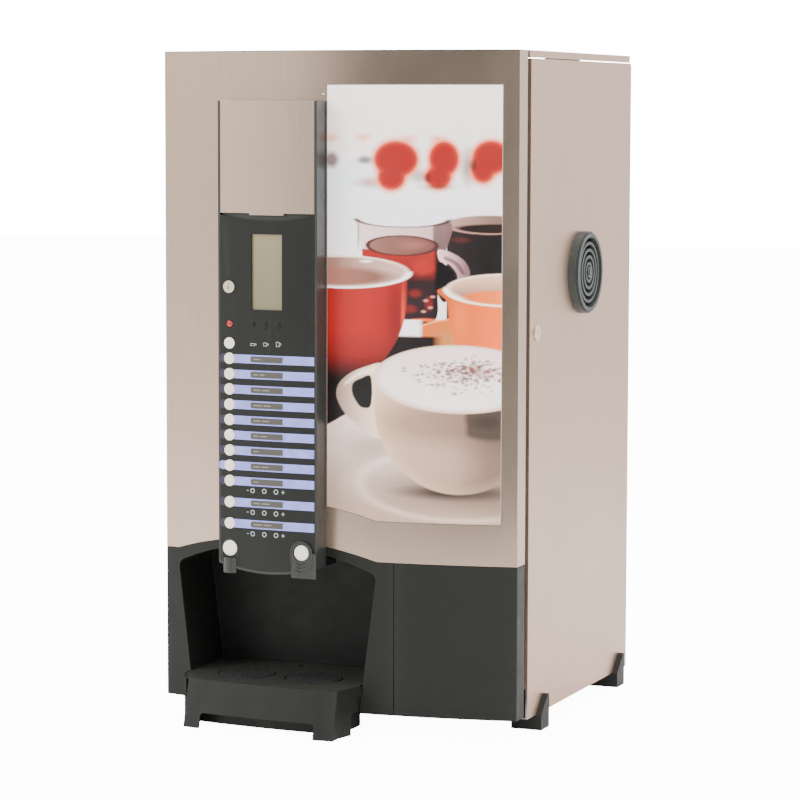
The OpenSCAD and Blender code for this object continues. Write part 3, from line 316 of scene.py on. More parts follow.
def label_film(name):
    """Lavender printed stripes whose ends left of the buttons are deep purple, on all but one stripe."""
    n = Nodes(name)
    split = n.add("ShaderNodeSeparateXYZ")
    n.link(n.place, split.inputs["Vector"])
    button_x = sum(c.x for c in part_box("drink_button_01")) / 2
    left = n.spread(split.outputs["X"], 1, 0, button_x - 0.001, button_x + 0.001)
    low5, high5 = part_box("drink_button_04")
    middle = (low5.z + high5.z) / 2
    away = n.add("ShaderNodeMath", operation="COMPARE")
    away.inputs[1].default_value = middle
    away.inputs[2].default_value = 0.009
    n.link(split.outputs["Z"], away.inputs[0])
    dark = n.add("ShaderNodeMath", operation="SUBTRACT", use_clamp=True)
    n.link(left, dark.inputs[0])
    n.link(away.outputs[0], dark.inputs[1])
    body = n.mix(n.spread(n.noise(60), 0, 1), linear(176, 180, 218), linear(190, 194, 228))
    n.colour(n.mix(dark.outputs[0], body, linear(66, 54, 96)))
    n.roughness(n.spread(n.noise(150), 0.34, 0.46))
    n.bump((n.noise(1200), 0.05, 0.00003))
    return n.material


def print_ink(name, base):
    n = Nodes(name)
    n.colour(n.mix(n.spread(n.noise(900), 0, 1), scaled(base, 0.9), scaled(base, 1.05)))
    n.roughness(n.spread(n.noise(400), 0.4, 0.5))
    n.bump((n.noise(1500), 0.05, 0.00002))
    return n.material


def poster_film(name):
    """The poster's print, held as a colour on each point of its sheet, under a satin laminate; the print also
    glows with its own colour, a painted glow.
    """
    n = Nodes(name)
    ink = n.add("ShaderNodeVertexColor", layer_name="ink").outputs["Color"]
    n.colour(n.mix(n.spread(n.noise(2600, detail=1), 0, 0.05), ink, (0.02, 0.02, 0.02, 1)))
    # painted glow: the ink colour is also given off as light, brightening the print with no lamp behind it
    n.link(ink, n.shader.inputs["Emission Color"])
    n.roughness(n.spread(n.noise(30, detail=4), 0.34, 0.44))
    n.bump((n.noise(500, detail=2), 0.03, 0.00005))
    n.set(IOR=1.45, Coat_Weight=0.15, Coat_Roughness=0.2, Emission_Strength=PRINT_GLOW)
    return n.material


STEEL = (0.53, 0.395, 0.31, 1)  # the warm tone that the photo gives the steel
LOWER = linear(36, 39, 35)
MATERIALS = {
    "steel_side": lambda s: brushed_steel(s, (0.6, 0.42, 0.325, 1), 0.34),
    "steel_door": lambda s: brushed_steel(s, STEEL, 0.24),
    "steel_flap": lambda s: brushed_steel(s, scaled(STEEL, 1.08), 0.32),
    "zinc": lambda s: galvanised(s, linear(186, 188, 190)),
    "foot_plastic": lambda s: moulded_plastic(s, linear(44, 46, 45), 0.5, gloss=0.25),
    "canister_plastic": lambda s: translucent(s, linear(222, 221, 215)),
    "bowl_plastic": lambda s: translucent(s, linear(212, 204, 186)),
    "boiler_steel": lambda s: brushed_steel(s, linear(198, 198, 197), 0.26, (0.02, 0.02, 1)),
    "brewer_plastic": lambda s: moulded_plastic(s, linear(206, 206, 200), 0.42, 0.15, 1.05),
    "motor_metal": lambda s: moulded_plastic(s, linear(62, 64, 68), 0.4, 0.1, 1.8),
    "hose_silicone": lambda s: translucent(s, linear(206, 214, 218), 0.5, 0.35),
    "bin_plastic": lambda s: moulded_plastic(s, linear(84, 90, 96), 0.5),
    "electronics_case": lambda s: galvanised(s, linear(176, 180, 178)),
    "inlet_plastic": lambda s: moulded_plastic(s, linear(26, 26, 26), 0.4, gloss=0.3),
    "valve_brass": lambda s: plain_metal(s, linear(200, 168, 100), 0.28),
    "fan_plastic": lambda s: moulded_plastic(s, linear(26, 27, 27), 0.45, gloss=0.3),
    "vent_plastic": lambda s: moulded_plastic(s, linear(82, 91, 89), 0.44, 0.25, 1.8, 0.35),
    "screw_steel": lambda s: plain_metal(s, linear(204, 204, 200), 0.25),
    "lock_metal": lambda s: plain_metal(s, linear(226, 222, 214), 0.16),
    "auger_plastic": lambda s: translucent(s, linear(226, 226, 222)),
    "poster": lambda s: smooth_plastic(s, linear(216, 210, 206), 0.4),
    "lower_plastic": lambda s: moulded_plastic(s, LOWER, 0.46, 0.3, 2.2, 0.22),
    "column_plastic": lambda s: moulded_plastic(s, linear(46, 50, 46), 0.36, 0.22, 2.6, 0.5),
    "fascia_plastic": lambda s: moulded_plastic(s, linear(40, 42, 38), 0.34, 0.12, 1.6, 0.22),
    "display_glass": display_glass,
    "label_film": label_film,
    "lamp_plastic": lambda s: smooth_plastic(s, linear(222, 66, 70), 0.22, 0.3),
    "tray_plastic": lambda s: moulded_plastic(s, LOWER, 0.46, 0.3, 2.2, 0.22),
    "tray_top_plastic": lambda s: moulded_plastic(s, linear(66, 66, 60), 0.5, 0.25, 1.5, 0.35),
    "stand_rubber": lambda s: rubber(s, linear(40, 36, 37)),
    "button_plastic": lambda s: smooth_plastic(s, linear(236, 229, 219), 0.3, 0.2),
}
finishes = {}


def finish_of(slot):
    """The material of a slot, made once."""
    if slot not in finishes:
        finishes[slot] = MATERIALS[slot](slot)
    return finishes[slot]


# ---------------------------------------------------------------- pieces
def link_object(name, mesh):
    obj = bpy.data.objects.new(name, mesh)
    bpy.context.scene.collection.objects.link(obj)
    return obj


def add_piece(name, mesh, body, slot, material=None):
    obj = link_object(name, mesh)
    obj.data.materials.clear()
    obj.data.materials.append(material or finish_of(slot))
    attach(obj, body)
    return obj


SHARP = math.radians(28)


def eased(node, width, segments=2):
    """The CAD node with its sharp edges rounded off, so that they catch the light; it stands for the node."""
    mesh = frame["nodes"][node].data.copy()
    bm = bmesh.new()
    bm.from_mesh(mesh)
    bmesh.ops.remove_doubles(bm, verts=bm.verts, dist=2e-6)
    bmesh.ops.dissolve_degenerate(bm, edges=bm.edges, dist=1e-6)
    bmesh.ops.dissolve_limit(bm, angle_limit=math.radians(0.3), verts=bm.verts, edges=bm.edges)
    for face in bm.faces:
        face.smooth = True
    for edge in bm.edges:
        edge.smooth = edge.calc_face_angle(0) < SHARP
    bm.to_mesh(mesh)
    bm.free()
    piece = add_piece(node + "_eased", mesh, BODY_OF[node], SLOT_OF[node])
    rounding = piece.modifiers.new("rounding", "BEVEL")
    rounding.width = width
    rounding.segments = segments
    rounding.limit_method = "ANGLE"
    rounding.angle_limit = SHARP
    rounding.harden_normals = True
    rounding.use_clamp_overlap = True
    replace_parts(piece, node)
    return piece


EASED = {
    "door_skin": 0.6, "left_side_panel": 0.5, "right_side_panel": 0.5, "top_lid": 0.5, "service_flap": 0.4,
    "cup_bay": 0.9, "access_panel": 0.9, "control_housing": 1.0, "control_fascia": 0.35, "spouts": 0.8,
    "drip_tray": 0.9, "tray_plate": 0.6, "feet": 1.2, "vent_grille": 0.7, "front_lock": 0.4, "side_lock": 0.4,
    "waste_bin": 0.8, "electronics": 0.4, "water_inlet": 0.8, "mains_inlet": 0.5,
}


def finish_cad_nodes():
    """Every CAD node gets its slot's material; the outer ones get eased edges as well."""
    for name, obj in frame["nodes"].items():
        obj.data.materials.clear()
        obj.data.materials.append(finish_of(SLOT_OF[name]))
    for name, width in EASED.items():
        eased(name, width * MM)


# ---------------------------------------------------------------- the poster's picture
# poster ink colours, set for the studio light plus the print's painted glow
def srgb(r, g, b):
    return np.array(linear(r, g, b, LIGHT + PRINT_GLOW)[:3])


class Painting:
    """A picture over points u, v in millimetres from the poster's lower left corner, back to front."""

    def __init__(self, u, v):
        self.u, self.v = u, v
        self.ink = np.ones((len(u), 3))

    def lay(self, mask, colour):
        """Colour over the picture where mask is 1; colour is one colour or one for each point."""
        mask = np.clip(mask, 0, 1)[:, None]
        self.ink = self.ink * (1 - mask) + np.asarray(colour) * mask

    def disc(self, cu, cv, ru, rv, soft=1.2):
        """1 inside an ellipse, falling to 0 over soft millimetres."""
        d = np.hypot((self.u - cu) / ru, (self.v - cv) / rv)
        return np.clip((1 - d) * min(ru, rv) / soft + 0.5, 0, 1)

    def ring(self, cu, cv, ru, rv, width, soft=0.8):
        d = np.abs(np.hypot((self.u - cu) / ru, (self.v - cv) / rv) - 1) * min(ru, rv)
        return np.clip((width / 2 - d) / soft + 0.5, 0, 1)

    def below(self, v, soft=1.0):
        return np.clip((v - self.v) / soft + 0.5, 0, 1)

    def right_of(self, u, soft=1.0):
        return np.clip((self.u - u) / soft + 0.5, 0, 1)

    def shape(self, corners, soft=1.2, steps=8):
        """1 inside a closed smooth outline through the corners, falling to 0 over soft millimetres."""
        p = np.array(corners, float)
        n = len(p)
        loop = []
        for i in range(n):
            a, b, c, d = p[i - 1], p[i], p[(i + 1) % n], p[(i + 2) % n]
            for k in range(steps):
                t = k / steps
                loop.append(0.5 * (2 * b + (c - a) * t + (2 * a - 5 * b + 4 * c - d) * t * t
                                   + (3 * b - a - 3 * c + d) * t ** 3))
        loop = np.array(loop)
        inside = np.zeros(len(self.u), bool)
        nearest = np.full(len(self.u), 1e9)
        for (x0, y0), (x1, y1) in zip(loop, np.roll(loop, -1, 0)):
            crosses = (y0 > self.v) != (y1 > self.v)
            with np.errstate(divide="ignore", invalid="ignore"):
                at = (x1 - x0) * (self.v - y0) / (y1 - y0 + 1e-12) + x0
            inside ^= crosses & (self.u < at)
            long = (x1 - x0) ** 2 + (y1 - y0) ** 2 + 1e-12
            t = np.clip(((self.u - x0) * (x1 - x0) + (self.v - y0) * (y1 - y0)) / long, 0, 1)
            nearest = np.minimum(nearest, np.hypot(self.u - x0 - t * (x1 - x0), self.v - y0 - t * (y1 - y0)))
        return np.clip(np.where(inside, nearest, -nearest) / soft + 0.5, 0, 1)

    def blend(self, t, a, b):
        t = np.clip(t, 0, 1)[:, None]
        return srgb(*a) * (1 - t) + srgb(*b) * t


def paint_background(p):
    p.lay(np.ones(len(p.u)), p.blend((p.v - 380) / 180, (233, 230, 232), (240, 231, 229)))
    p.lay(p.disc(20, 430, 60, 30, 30) * 0.6, srgb(226, 232, 236))
    p.lay(p.disc(120, 425, 90, 12, 12) * 0.5, srgb(240, 236, 234))


def paint_far_cups(p):
    """A row of red cups far out of focus."""
    for cu in (6, 50, 112, 148):
        p.lay(p.disc(cu, 495 - abs(cu - 50) * 0.02, 9, 5, 7) * 0.7, srgb(246, 196, 168))
    p.lay(p.disc(6, 466, 10, 10, 8) * 0.85, srgb(150, 72, 64))
    p.lay(p.disc(126, 446, 14, 8, 9) * 0.6, srgb(170, 130, 116))
    p.lay(p.disc(58, 437, 16, 6, 8) * 0.7, srgb(214, 160, 138))
    p.lay(p.disc(188, 458, 8, 20, 10) * 0.75, srgb(150, 132, 122))
    cups = (((94, 467, 28, 22), (88, 444, 17, 15), (52, 466, 10, 5)),
            ((157, 468, 18, 21), (150, 445, 15, 14), (137, 444, 6, 6)),
            ((217, 470, 22, 20), (207, 453, 13, 14), (195, 460, 5, 8)))
    for top, low, handle in cups:
        for grow, soft, ink, strength in ((5, 7, (248, 176, 130), 0.9), (1, 4, (232, 66, 36), 1.0)):
            for cu, cv, ru, rv in (top, low):
                p.lay(p.disc(cu, cv, ru + grow, rv + grow, soft) * strength, srgb(*ink))
        p.lay(p.disc(*handle, 5) * 0.8, srgb(110, 44, 40))
        for cu, cv, ru, rv in (top, low):
            p.lay(p.disc(cu, cv, ru - 3, rv - 3, 5), srgb(222, 36, 28))
    p.lay(p.disc(148, 432, 20, 3, 4) * 0.5, srgb(120, 80, 60))


def paint_dark_cup(p):
    body = p.below(384) * p.right_of(161, 1.5) * (1 - p.below(250))
    p.lay(body, p.blend((p.u - 160) / 70, (58, 40, 40), (32, 24, 25)))
    p.lay(p.disc(215, 385, 54, 11.5, 1.5), p.blend((p.u - 165) / 60, (206, 186, 176), (176, 146, 132)))
    p.lay(p.disc(226, 379.5, 56, 6, 2), srgb(52, 26, 22))
    p.lay(p.ring(215, 385, 54, 12, 1.6) * p.below(384, 3), srgb(206, 176, 168))
    p.lay(p.disc(179, 365, 11, 3.5, 3) * 0.8, srgb(150, 44, 38))
    p.lay(p.disc(212, 330, 30, 26, 20) * 0.5, srgb(24, 14, 15))


def paint_glass(p):
    """A glass of red tea with its handle."""
    wall = p.shape([(41, 389), (47, 360), (50, 330), (56, 264), (140, 258), (150, 300), (158, 345),
                    (167, 386), (130, 381), (90, 380), (60, 383)], 1.2)
    p.lay(wall * 0.9, p.blend((p.u - 40) / 120, (228, 218, 216), (214, 196, 194)))
    p.lay(wall * p.right_of(143, 3) * 0.85, p.blend((p.v - 340) / 40, (86, 40, 44), (150, 110, 108)))
    tea = wall * p.below(352, 1.5)
    p.lay(tea, p.blend((p.v - 300) / 60, (200, 24, 22), (226, 44, 32)))
    p.lay(tea * p.below(318, 14) * p.right_of(104, 6), srgb(66, 34, 40))
    p.lay(tea * p.right_of(146, 5), srgb(38, 16, 20))
    p.lay(p.disc(102, 357, 46, 12.5, 1.5), p.blend((p.u - 60) / 80, (190, 146, 132), (166, 106, 90)))
    p.lay(p.ring(102, 357, 46, 12.5, 1.6), srgb(120, 60, 50))
    p.lay(p.disc(118, 358, 18, 6, 8) * 0.5, srgb(206, 160, 148))
    p.lay(p.ring(102, 391, 62, 10.5, 1.4) * p.below(391, 3), srgb(116, 76, 68))
    p.lay(p.disc(43.5, 370, 1.4, 18, 1.2) * 0.7, srgb(176, 150, 140))
    p.lay(p.disc(130, 330, 14, 10, 6) * 0.9, srgb(226, 46, 32))
    for cu, cv, ru, rv in ((120, 296, 8, 5), (112, 276, 10, 5), (138, 283, 5, 8)):
        p.lay(p.disc(cu, cv, ru, rv, 4) * 0.8, srgb(206, 30, 24))
    p.lay(p.disc(133, 262, 18, 2, 1.5) * 0.8, srgb(246, 150, 50))
    p.lay(p.shape([(150, 352), (166, 349), (184, 338), (191, 322), (184, 310), (176, 308), (174, 322),
                   (164, 334), (152, 338)], 1.2), p.blend((p.u - 150) / 36, (232, 214, 214), (176, 140, 146)))
    p.lay(p.shape([(152, 336), (163, 331), (172, 318), (170, 300), (158, 285), (148, 300), (148, 322)], 1.5),
          srgb(18, 12, 14))
    p.lay(p.shape([(160, 344), (176, 336), (184, 323), (180, 322), (170, 334), (158, 340)], 1) * 0.7,
          srgb(110, 60, 72))
    for cu, cv in ((134, 287), (140, 278), (131, 273), (143, 292)):
        p.lay(p.disc(cu, cv, 3.2, 1.6, 1.2) * 0.8, srgb(226, 190, 170))


def paint_yellow_cup(p):
    p.lay(p.disc(190, 234, 82, 31, 1.5), p.blend((p.u - 115) / 60, (238, 148, 40), (236, 168, 60)))
    p.lay(p.ring(190, 234, 82, 31, 1.8) * (1 - p.below(226, 6)), srgb(246, 200, 120))
    p.lay(p.disc(158, 236, 18, 12, 8) * 0.5, srgb(214, 184, 124))
    p.lay(p.shape([(160, 304), (162, 285), (165, 260), (174, 230), (200, 190), (330, 190), (320, 304)], 1.4),
          p.blend((p.u - 160) / 60, (236, 136, 26), (244, 160, 40)))
    p.lay(p.disc(178, 262, 10, 30, 10) * 0.35, srgb(250, 182, 70))
    p.lay(p.disc(235, 302, 75, 20.5, 1.5), srgb(236, 226, 218))
    p.lay(p.disc(236, 303, 71, 17, 2.5), p.blend((p.v - 296) / 18, (206, 176, 156), (226, 208, 196)))
    p.lay(p.disc(242, 292, 60, 9.5, 2), p.blend((p.u - 185) / 50, (240, 150, 40), (244, 178, 74)))
    p.lay(p.ring(235, 302, 75, 20.5, 2) * p.below(304, 4), srgb(248, 238, 226))


def paint_red_cup(p):
    under = np.clip((292 - p.v) / 118, 0, 1)
    edge = 109 * np.sqrt(1 - under ** 2)
    body = np.clip((edge - p.u) / 1.3 + 0.5, 0, 1) * p.below(322, 1)
    p.lay(p.below(262, 1) * (1 - p.right_of(128, 6)), srgb(236, 233, 234))
    p.lay(p.below(241, 3) * (1 - p.right_of(150, 14)), srgb(34, 18, 20))
    p.lay(body, p.blend((p.v - 176) / 70, (70, 18, 18), (222, 34, 28)))
    p.lay(body * p.disc(40, 270, 34, 60, 40) * 0.5, srgb(230, 40, 32))
    p.lay(body * p.disc(94, 262, 10, 44, 12) * 0.55, srgb(190, 22, 22))
    p.lay(body * p.disc(104, 256, 2.4, 40, 3) * 0.7, srgb(240, 110, 70))
    p.lay(body * p.below(196, 34), srgb(24, 13, 14))
    p.lay(p.disc(20, 322.5, 92, 21, 1.5), srgb(234, 224, 218))
    p.lay(p.disc(20, 323, 88, 18, 2), p.blend((p.u - 10) / 80, (196, 164, 150), (216, 200, 192)))
    p.lay(p.disc(14, 316, 74, 12, 6), p.blend((p.u - 0) / 70, (206, 160, 142), (180, 132, 116)))
    p.lay(p.ring(20, 322.5, 92, 21, 2) * p.below(323, 4), srgb(246, 240, 236))
    p.lay(p.disc(54, 336, 8, 1.6, 1.6) * 0.9, srgb(250, 248, 246))


def paint_saucer(p):
    p.lay(p.shape([(-60, 96), (0, 123), (30, 139), (70, 152), (140, 160), (260, 160), (300, -40),
                   (-60, -40)], 1.6),
          p.blend((p.v - 20) / 110, (210, 196, 184), (226, 218, 214)))
    p.lay(p.ring(170, 46, 158, 62, 16, 14) * 0.35, srgb(196, 182, 172))
    p.lay(p.ring(176, 50, 130, 46, 5, 5) * 0.35, srgb(234, 226, 220))
    p.lay(p.disc(60, 100, 34, 14, 16) * 0.35, srgb(188, 170, 158))
    p.lay(p.disc(180, 44, 96, 24, 26) * 0.75, srgb(150, 126, 112))
    p.lay(p.disc(182, 40, 70, 8, 8) * 0.9, srgb(66, 44, 38))
    p.lay(p.disc(250, 30, 60, 20, 22) * 0.45, srgb(168, 146, 130))


def paint_cappuccino(p, rng):
    """The large white cup in front: handle, body with reflections, foam and cocoa."""
    outer = p.shape([(76, 205), (56, 201), (34, 192), (18, 179), (13, 165), (17, 151), (28, 136), (46, 122),
                     (66, 108), (84, 120), (84, 190)], 1.3)
    p.lay(outer, p.blend((p.u - 12) / 50, (196, 178, 166), (228, 218, 210)))
    p.lay(p.shape([(74, 201), (54, 197), (36, 188), (24, 177), (30, 178), (44, 188), (62, 192),
                   (76, 192)], 2) * 0.7,
          srgb(240, 232, 226))
    p.lay(p.shape([(61, 187), (47, 185), (36, 178), (35, 166), (41, 154), (49, 147), (61, 151)], 1.2),
          srgb(20, 16, 16))
    body = p.disc(176, 150, 110, 112, 1.4) * p.below(186, 1)
    across = (p.u - 66) / 150
    p.lay(body, p.blend(across, (224, 211, 197), (176, 150, 132)))
    p.lay(body * p.disc(150, 128, 90, 26, 26) * 0.55, srgb(180, 150, 138))
    p.lay(body * p.disc(150, 78, 80, 26, 30) * 0.6, srgb(212, 197, 187))
    p.lay(body * p.disc(230, 90, 40, 60, 40) * 0.5, srgb(152, 118, 106))
    window = p.shape([(190, 146), (236, 148), (236, 112), (193, 112), (187, 128)], 7)
    p.lay(body * window * 0.85, srgb(96, 84, 70))
    p.lay(body * p.disc(214, 132, 20, 8, 8) * 0.4, srgb(66, 36, 36))
    p.lay(body * (1 - p.disc(176, 152, 103, 106, 12)) * 0.15, srgb(232, 222, 210))
    p.lay(p.disc(175, 186.5, 110.5, 44, 1.3), srgb(228, 217, 209))
    p.lay(p.disc(175, 187.6, 107, 41.5, 2.2), p.blend((p.v - 150) / 60, (240, 233, 232), (232, 225, 224)))
    p.lay(p.ring(176, 188, 106, 40.5, 2.5, 2) * 0.25, srgb(206, 192, 184))
    foam = p.disc(175, 187.6, 104, 39, 2)
    for _ in range(420):
        cu, cv = rng.gauss(186, 30), rng.gauss(194, 9)
        size = abs(rng.gauss(0, 1.1)) + 0.35
        tint = rng.random()
        near = (np.abs(p.u - cu) < 6) & (np.abs(p.v - cv) < 6)
        if not near.any():
            continue
        mask = np.zeros(len(p.u))
        d = np.hypot((p.u[near] - cu) / (size * 1.5), (p.v[near] - cv) / (size * 0.8))
        mask[near] = np.clip(1.4 - d, 0, 1)
        p.lay(mask * foam * 0.75, p.blend(np.full(len(p.u), tint), (150, 62, 40), (206, 132, 100)))


def make_poster():
    """The poster's printed sheet: a fine curved grid on the panel, cut to the panel's own outline."""
    panel = frame["nodes"]["poster_panel"]
    tree = BVHTree.FromPolygons([v.co for v in panel.data.vertices],
                                [q.vertices for q in panel.data.polygons])
    low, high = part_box("poster_panel")
    start_y = low.y - 0.02

    def covered(x, z):
        return tree.ray_cast(Vector((x, start_y, z)), Vector((0, 1, 0)))[0] is not None

    inset, proud, pitch = 0.35 * MM, 0.12 * MM, 1.1 * MM
    left, right, top = low.x + inset, high.x - inset, high.z - inset
    columns = round((right - left) / pitch)
    rows = round((top - low.z) / pitch)
    panel_out = BOW_AXIS_Y - BOW_R - low.y
    points = []
    for i in range(columns + 1):
        x = left + (right - left) * i / columns
        bottom, above = low.z - 0.005, top - 0.05
        for _ in range(16):
            middle = (bottom + above) / 2
            bottom, above = (bottom, middle) if covered(x, middle) else (middle, above)
        bottom = above + inset
        y = bow_y(x, panel_out + proud)
        points += [(x, y, bottom + (top - bottom) * j / rows) for j in range(rows + 1)]
    step = rows + 1
    faces = [(i * step + j, (i + 1) * step + j, (i + 1) * step + j + 1, i * step + j + 1)
             for i in range(columns) for j in range(rows)]
    mesh = bpy.data.meshes.new("poster_print")
    mesh.from_pydata(points, [], faces)
    mesh.shade_smooth()
    co = np.array(points)
    picture = Painting((co[:, 0] - low.x) / MM, (co[:, 2] - low.z) / MM)
    paint_background(picture)
    paint_far_cups(picture)
    paint_dark_cup(picture)
    paint_glass(picture)
    paint_yellow_cup(picture)
    paint_red_cup(picture)
    paint_saucer(picture)
    paint_cappuccino(picture, random.Random(7))
    ink = mesh.color_attributes.new("ink", "FLOAT_COLOR", "POINT")
    ink.data.foreach_set("color", np.hstack([picture.ink, np.ones((len(co), 1))]).astype(np.float32).ravel())
    add_piece("poster_print", mesh, "door", "poster", poster_film("poster_print"))


# ---------------------------------------------------------------- printing on the control column
class Print:
    """Flat printed marks that lie on a surface parallel to the bowed door."""

    def __init__(self, out):
        self.bm = bmesh.new()
        self.out = out

    def at(self, x, z):
        return self.bm.verts.new((x, bow_y(x, self.out), z))

    def patch(self, outline):
        self.bm.faces.new([self.at(x, z) for x, z in outline])

    def bar(self, x0, x1, z0, z1, left_r=0.0, right_r=0.0, pitch=4 * MM):
        """A bar with rounded ends, made of upright strips so that it follows the bow."""
        def ease(r):
            return [r * (1 - math.cos(math.radians(a))) for a in (0, 22, 45, 68)] if r > 0 else [0]
        inner = max(1, round((x1 - x0 - left_r - right_r) / pitch))
        flat = [x0 + left_r + (x1 - x0 - left_r - right_r) * i / inner for i in range(inner + 1)]
        stations = [x0 + d for d in ease(left_r)] + flat[bool(left_r == 0):len(flat) - bool(right_r == 0)]
        stations += [x1 - d for d in reversed(ease(right_r))]

        def cut(x):
            d, r = (x - x0, left_r) if x - x0 < left_r else (x1 - x, right_r)
            return r - math.sqrt(max(0.0, r * r - (r - d) ** 2)) if d < r else 0.0
        for a, b in zip(stations, stations[1:]):
            self.patch([(a, z0 + cut(a)), (b, z0 + cut(b)), (b, z1 - cut(b)), (a, z1 - cut(a))])

    def ring(self, cx, cz, r, width, turns=28):
        for i in range(turns):
            a, b = (2 * math.pi * k / turns for k in (i, i + 1))
            self.patch([(cx + q * math.cos(t), cz + q * math.sin(t))
                        for q, t in ((r, a), (r, b), (r - width, b), (r - width, a))])

    def disc(self, cx, cz, r, turns=24):
        self.patch([(cx + r * math.cos(t), cz + r * math.sin(t)) for t in
                    (2 * math.pi * k / turns for k in range(turns))])

    def piece(self, name, material):
        bmesh.ops.recalc_face_normals(self.bm, faces=self.bm.faces)
        bm = self.bm
        bmesh.ops.solidify(bm, geom=list(bm.faces), thickness=0.05 * MM)
        mesh = bpy.data.meshes.new(name)
        bm.to_mesh(mesh)
        bm.free()
        return add_piece(name, mesh, "door", "label_film", material)


def cup_icon(p, x, z, w, h):
    """A generic cup outline with a handle."""
    t = 0.7 * MM
    left, right, ear = x - w / 2, x + w / 2, x + w / 2 + 1.6 * MM
    p.bar(left, right, z, z + t)
    p.bar(left, left + t, z + t, z + h)
    p.bar(right - t, right, z + t, z + h)
    p.bar(left + t, right - t, z + h - t, z + h)
    for level in (0.65, 0.3):
        p.bar(right, ear, z + h * level, z + h * level + t)
    p.bar(ear, ear + t, z + h * 0.3, z + h * 0.65 + t)


def make_column_print():
    """Cup sizes, strength rows and the drink inserts, with bars in place of words."""
    rng = random.Random(11)
    heights = [button_z_of("drink_button_%02d" % i) for i in range(1, 13)]
    display_low, display_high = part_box("display")
    middle = (display_low.x + display_high.x) / 2
    out = FASCIA_OUT + 0.06 * MM
    white = Print(out)
    for k, (w, h) in enumerate(((6.6, 3.4), (5.0, 4.8), (5.0, 6.4))):
        cup_icon(white, middle + (k - 1) * LAMP_PITCH - LAMP_LEFT, heights[11] - 2.6 * MM, w * MM, h * MM)
    half, gap = 23.5 * MM, 17.3 * MM
    for z in (heights[2] - 11.6 * MM, heights[1] - 12.2 * MM, heights[0] - 12.5 * MM):
        for k in (-1, 0, 1):
            white.ring(middle - 4 * MM + k * gap, z, 3.3 * MM, 1.2 * MM)
        left, right = middle - 28.6 * MM, middle + half
        white.bar(left - 1.4 * MM, left + 1.4 * MM, z - 0.4 * MM, z + 0.4 * MM)
        white.bar(right - 2.4 * MM, right + 2.4 * MM, z - 0.5 * MM, z + 0.5 * MM)
        white.bar(right - 0.5 * MM, right + 0.5 * MM, z - 2.4 * MM, z + 2.4 * MM)
    white.piece("column_print", print_ink("print_white", linear(196, 200, 200)))
    olive, words = Print(FASCIA_OUT + 1.0 * MM), Print(FASCIA_OUT + 1.1 * MM)
    for z in heights[:11]:
        olive.bar(middle - 23.5 * MM, middle + 23.5 * MM, z - 3.85 * MM, z + 3.85 * MM, 2.2 * MM)
        x = middle - 19.5 * MM
        for _ in range(rng.choice((1, 2, 2))):
            w = rng.uniform(7, 13) * MM
            words.bar(x, x + w, z - 0.7 * MM, z + 0.7 * MM, 0.65 * MM, 0.65 * MM)
            x += w + 2.2 * MM
    olive.piece("drink_inserts", print_ink("insert_olive", linear(112, 108, 97)))
    words.piece("insert_marks", print_ink("insert_grey", linear(178, 174, 164)))


def button_x_of(node):
    return sum(c.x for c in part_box(node)) / 2


def button_z_of(node):
    return sum(c.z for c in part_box(node)) / 2


def make_rib(name, path, width, body, material_slot, up=Vector((0, -1, 0))):
    """A thin rounded bead along a path of points, as a tube with five sides that lies on its surface."""
    bm = bmesh.new()
    rings = []
    for i, point in enumerate(path):
        along = (path[min(i + 1, len(path) - 1)] - path[max(i - 1, 0)]).normalized()
        side = along.cross(up).normalized()
        rings.append([bm.verts.new(point + width / 2 * (side * math.cos(a) + up * math.sin(a)))
                      for a in (math.radians(d) for d in (-30, 42, 90, 138, 210))])
    for a, b in zip(rings, rings[1:]):
        for k in range(5):
            bm.faces.new((a[k], a[(k + 1) % 5], b[(k + 1) % 5], b[k]))
    bm.faces.new(rings[0])
    bm.faces.new(rings[-1][::-1])
    bmesh.ops.recalc_face_normals(bm, faces=bm.faces)
    for face in bm.faces:
        face.smooth = True
    mesh = bpy.data.meshes.new(name)
    bm.to_mesh(mesh)
    bm.free()
    return add_piece(name, mesh, body, material_slot)


def make_column_ribs():
    """The raised beads round both large buttons, and the beads along the column's edges."""
    out = FASCIA_OUT + 0.1 * MM
    bead = 1.3 * MM
    column_low, column_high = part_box("control_housing")
    for name, node, r in (("left", "big_button_left", 11.6 * MM), ("right", "big_button_right", 15.2 * MM)):
        x, z = button_x_of(node), button_z_of(node)
        foot = column_low.z + 12 * MM
        ahead = out + (2.6 * MM if name == "right" else 0)
        points = [(x - r, foot)] + [(x - r * math.cos(math.radians(a)), z + r * math.sin(math.radians(a)))
                                    for a in range(0, 181, 12)] + [(x + r, foot)]
        path = [Vector((px, bow_y(px, ahead), pz)) for px, pz in points]
        make_rib("button_bead_" + name, path, bead, "door", "column_plastic")
    for name, x in (("left", column_low.x + 1.2 * MM), ("right", column_high.x - 1.4 * MM)):
        bottom = column_low.z + (16 if name == "left" else 8) * MM
        path = [Vector((x, bow_y(x, FASCIA_OUT), z)) for z in (bottom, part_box("service_flap")[0].z)]
        make_rib("column_edge_" + name, path, 0.9 * MM, "door", "column_plastic")


def make_stripe_ends():
    """The purple stripe ends that run on over the column's left wall; one of them is lavender."""
    column_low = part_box("control_housing")[0]
    x0, x1 = column_low.x + 1.2 * MM, button_x_of("drink_button_01") - 6 * MM
    dark, pale = Print(FASCIA_OUT + 0.6 * MM), Print(FASCIA_OUT + 0.6 * MM)
    for i in range(1, 12):
        z = button_z_of("drink_button_%02d" % i)
        (pale if i == 4 else dark).bar(x0, x1, z - 4.1 * MM, z + 4.1 * MM)
    dark.piece("stripe_ends_dark", print_ink("print_purple", linear(64, 52, 94)))
    pale.piece("stripe_ends_pale", print_ink("print_lavender", linear(186, 190, 224)))


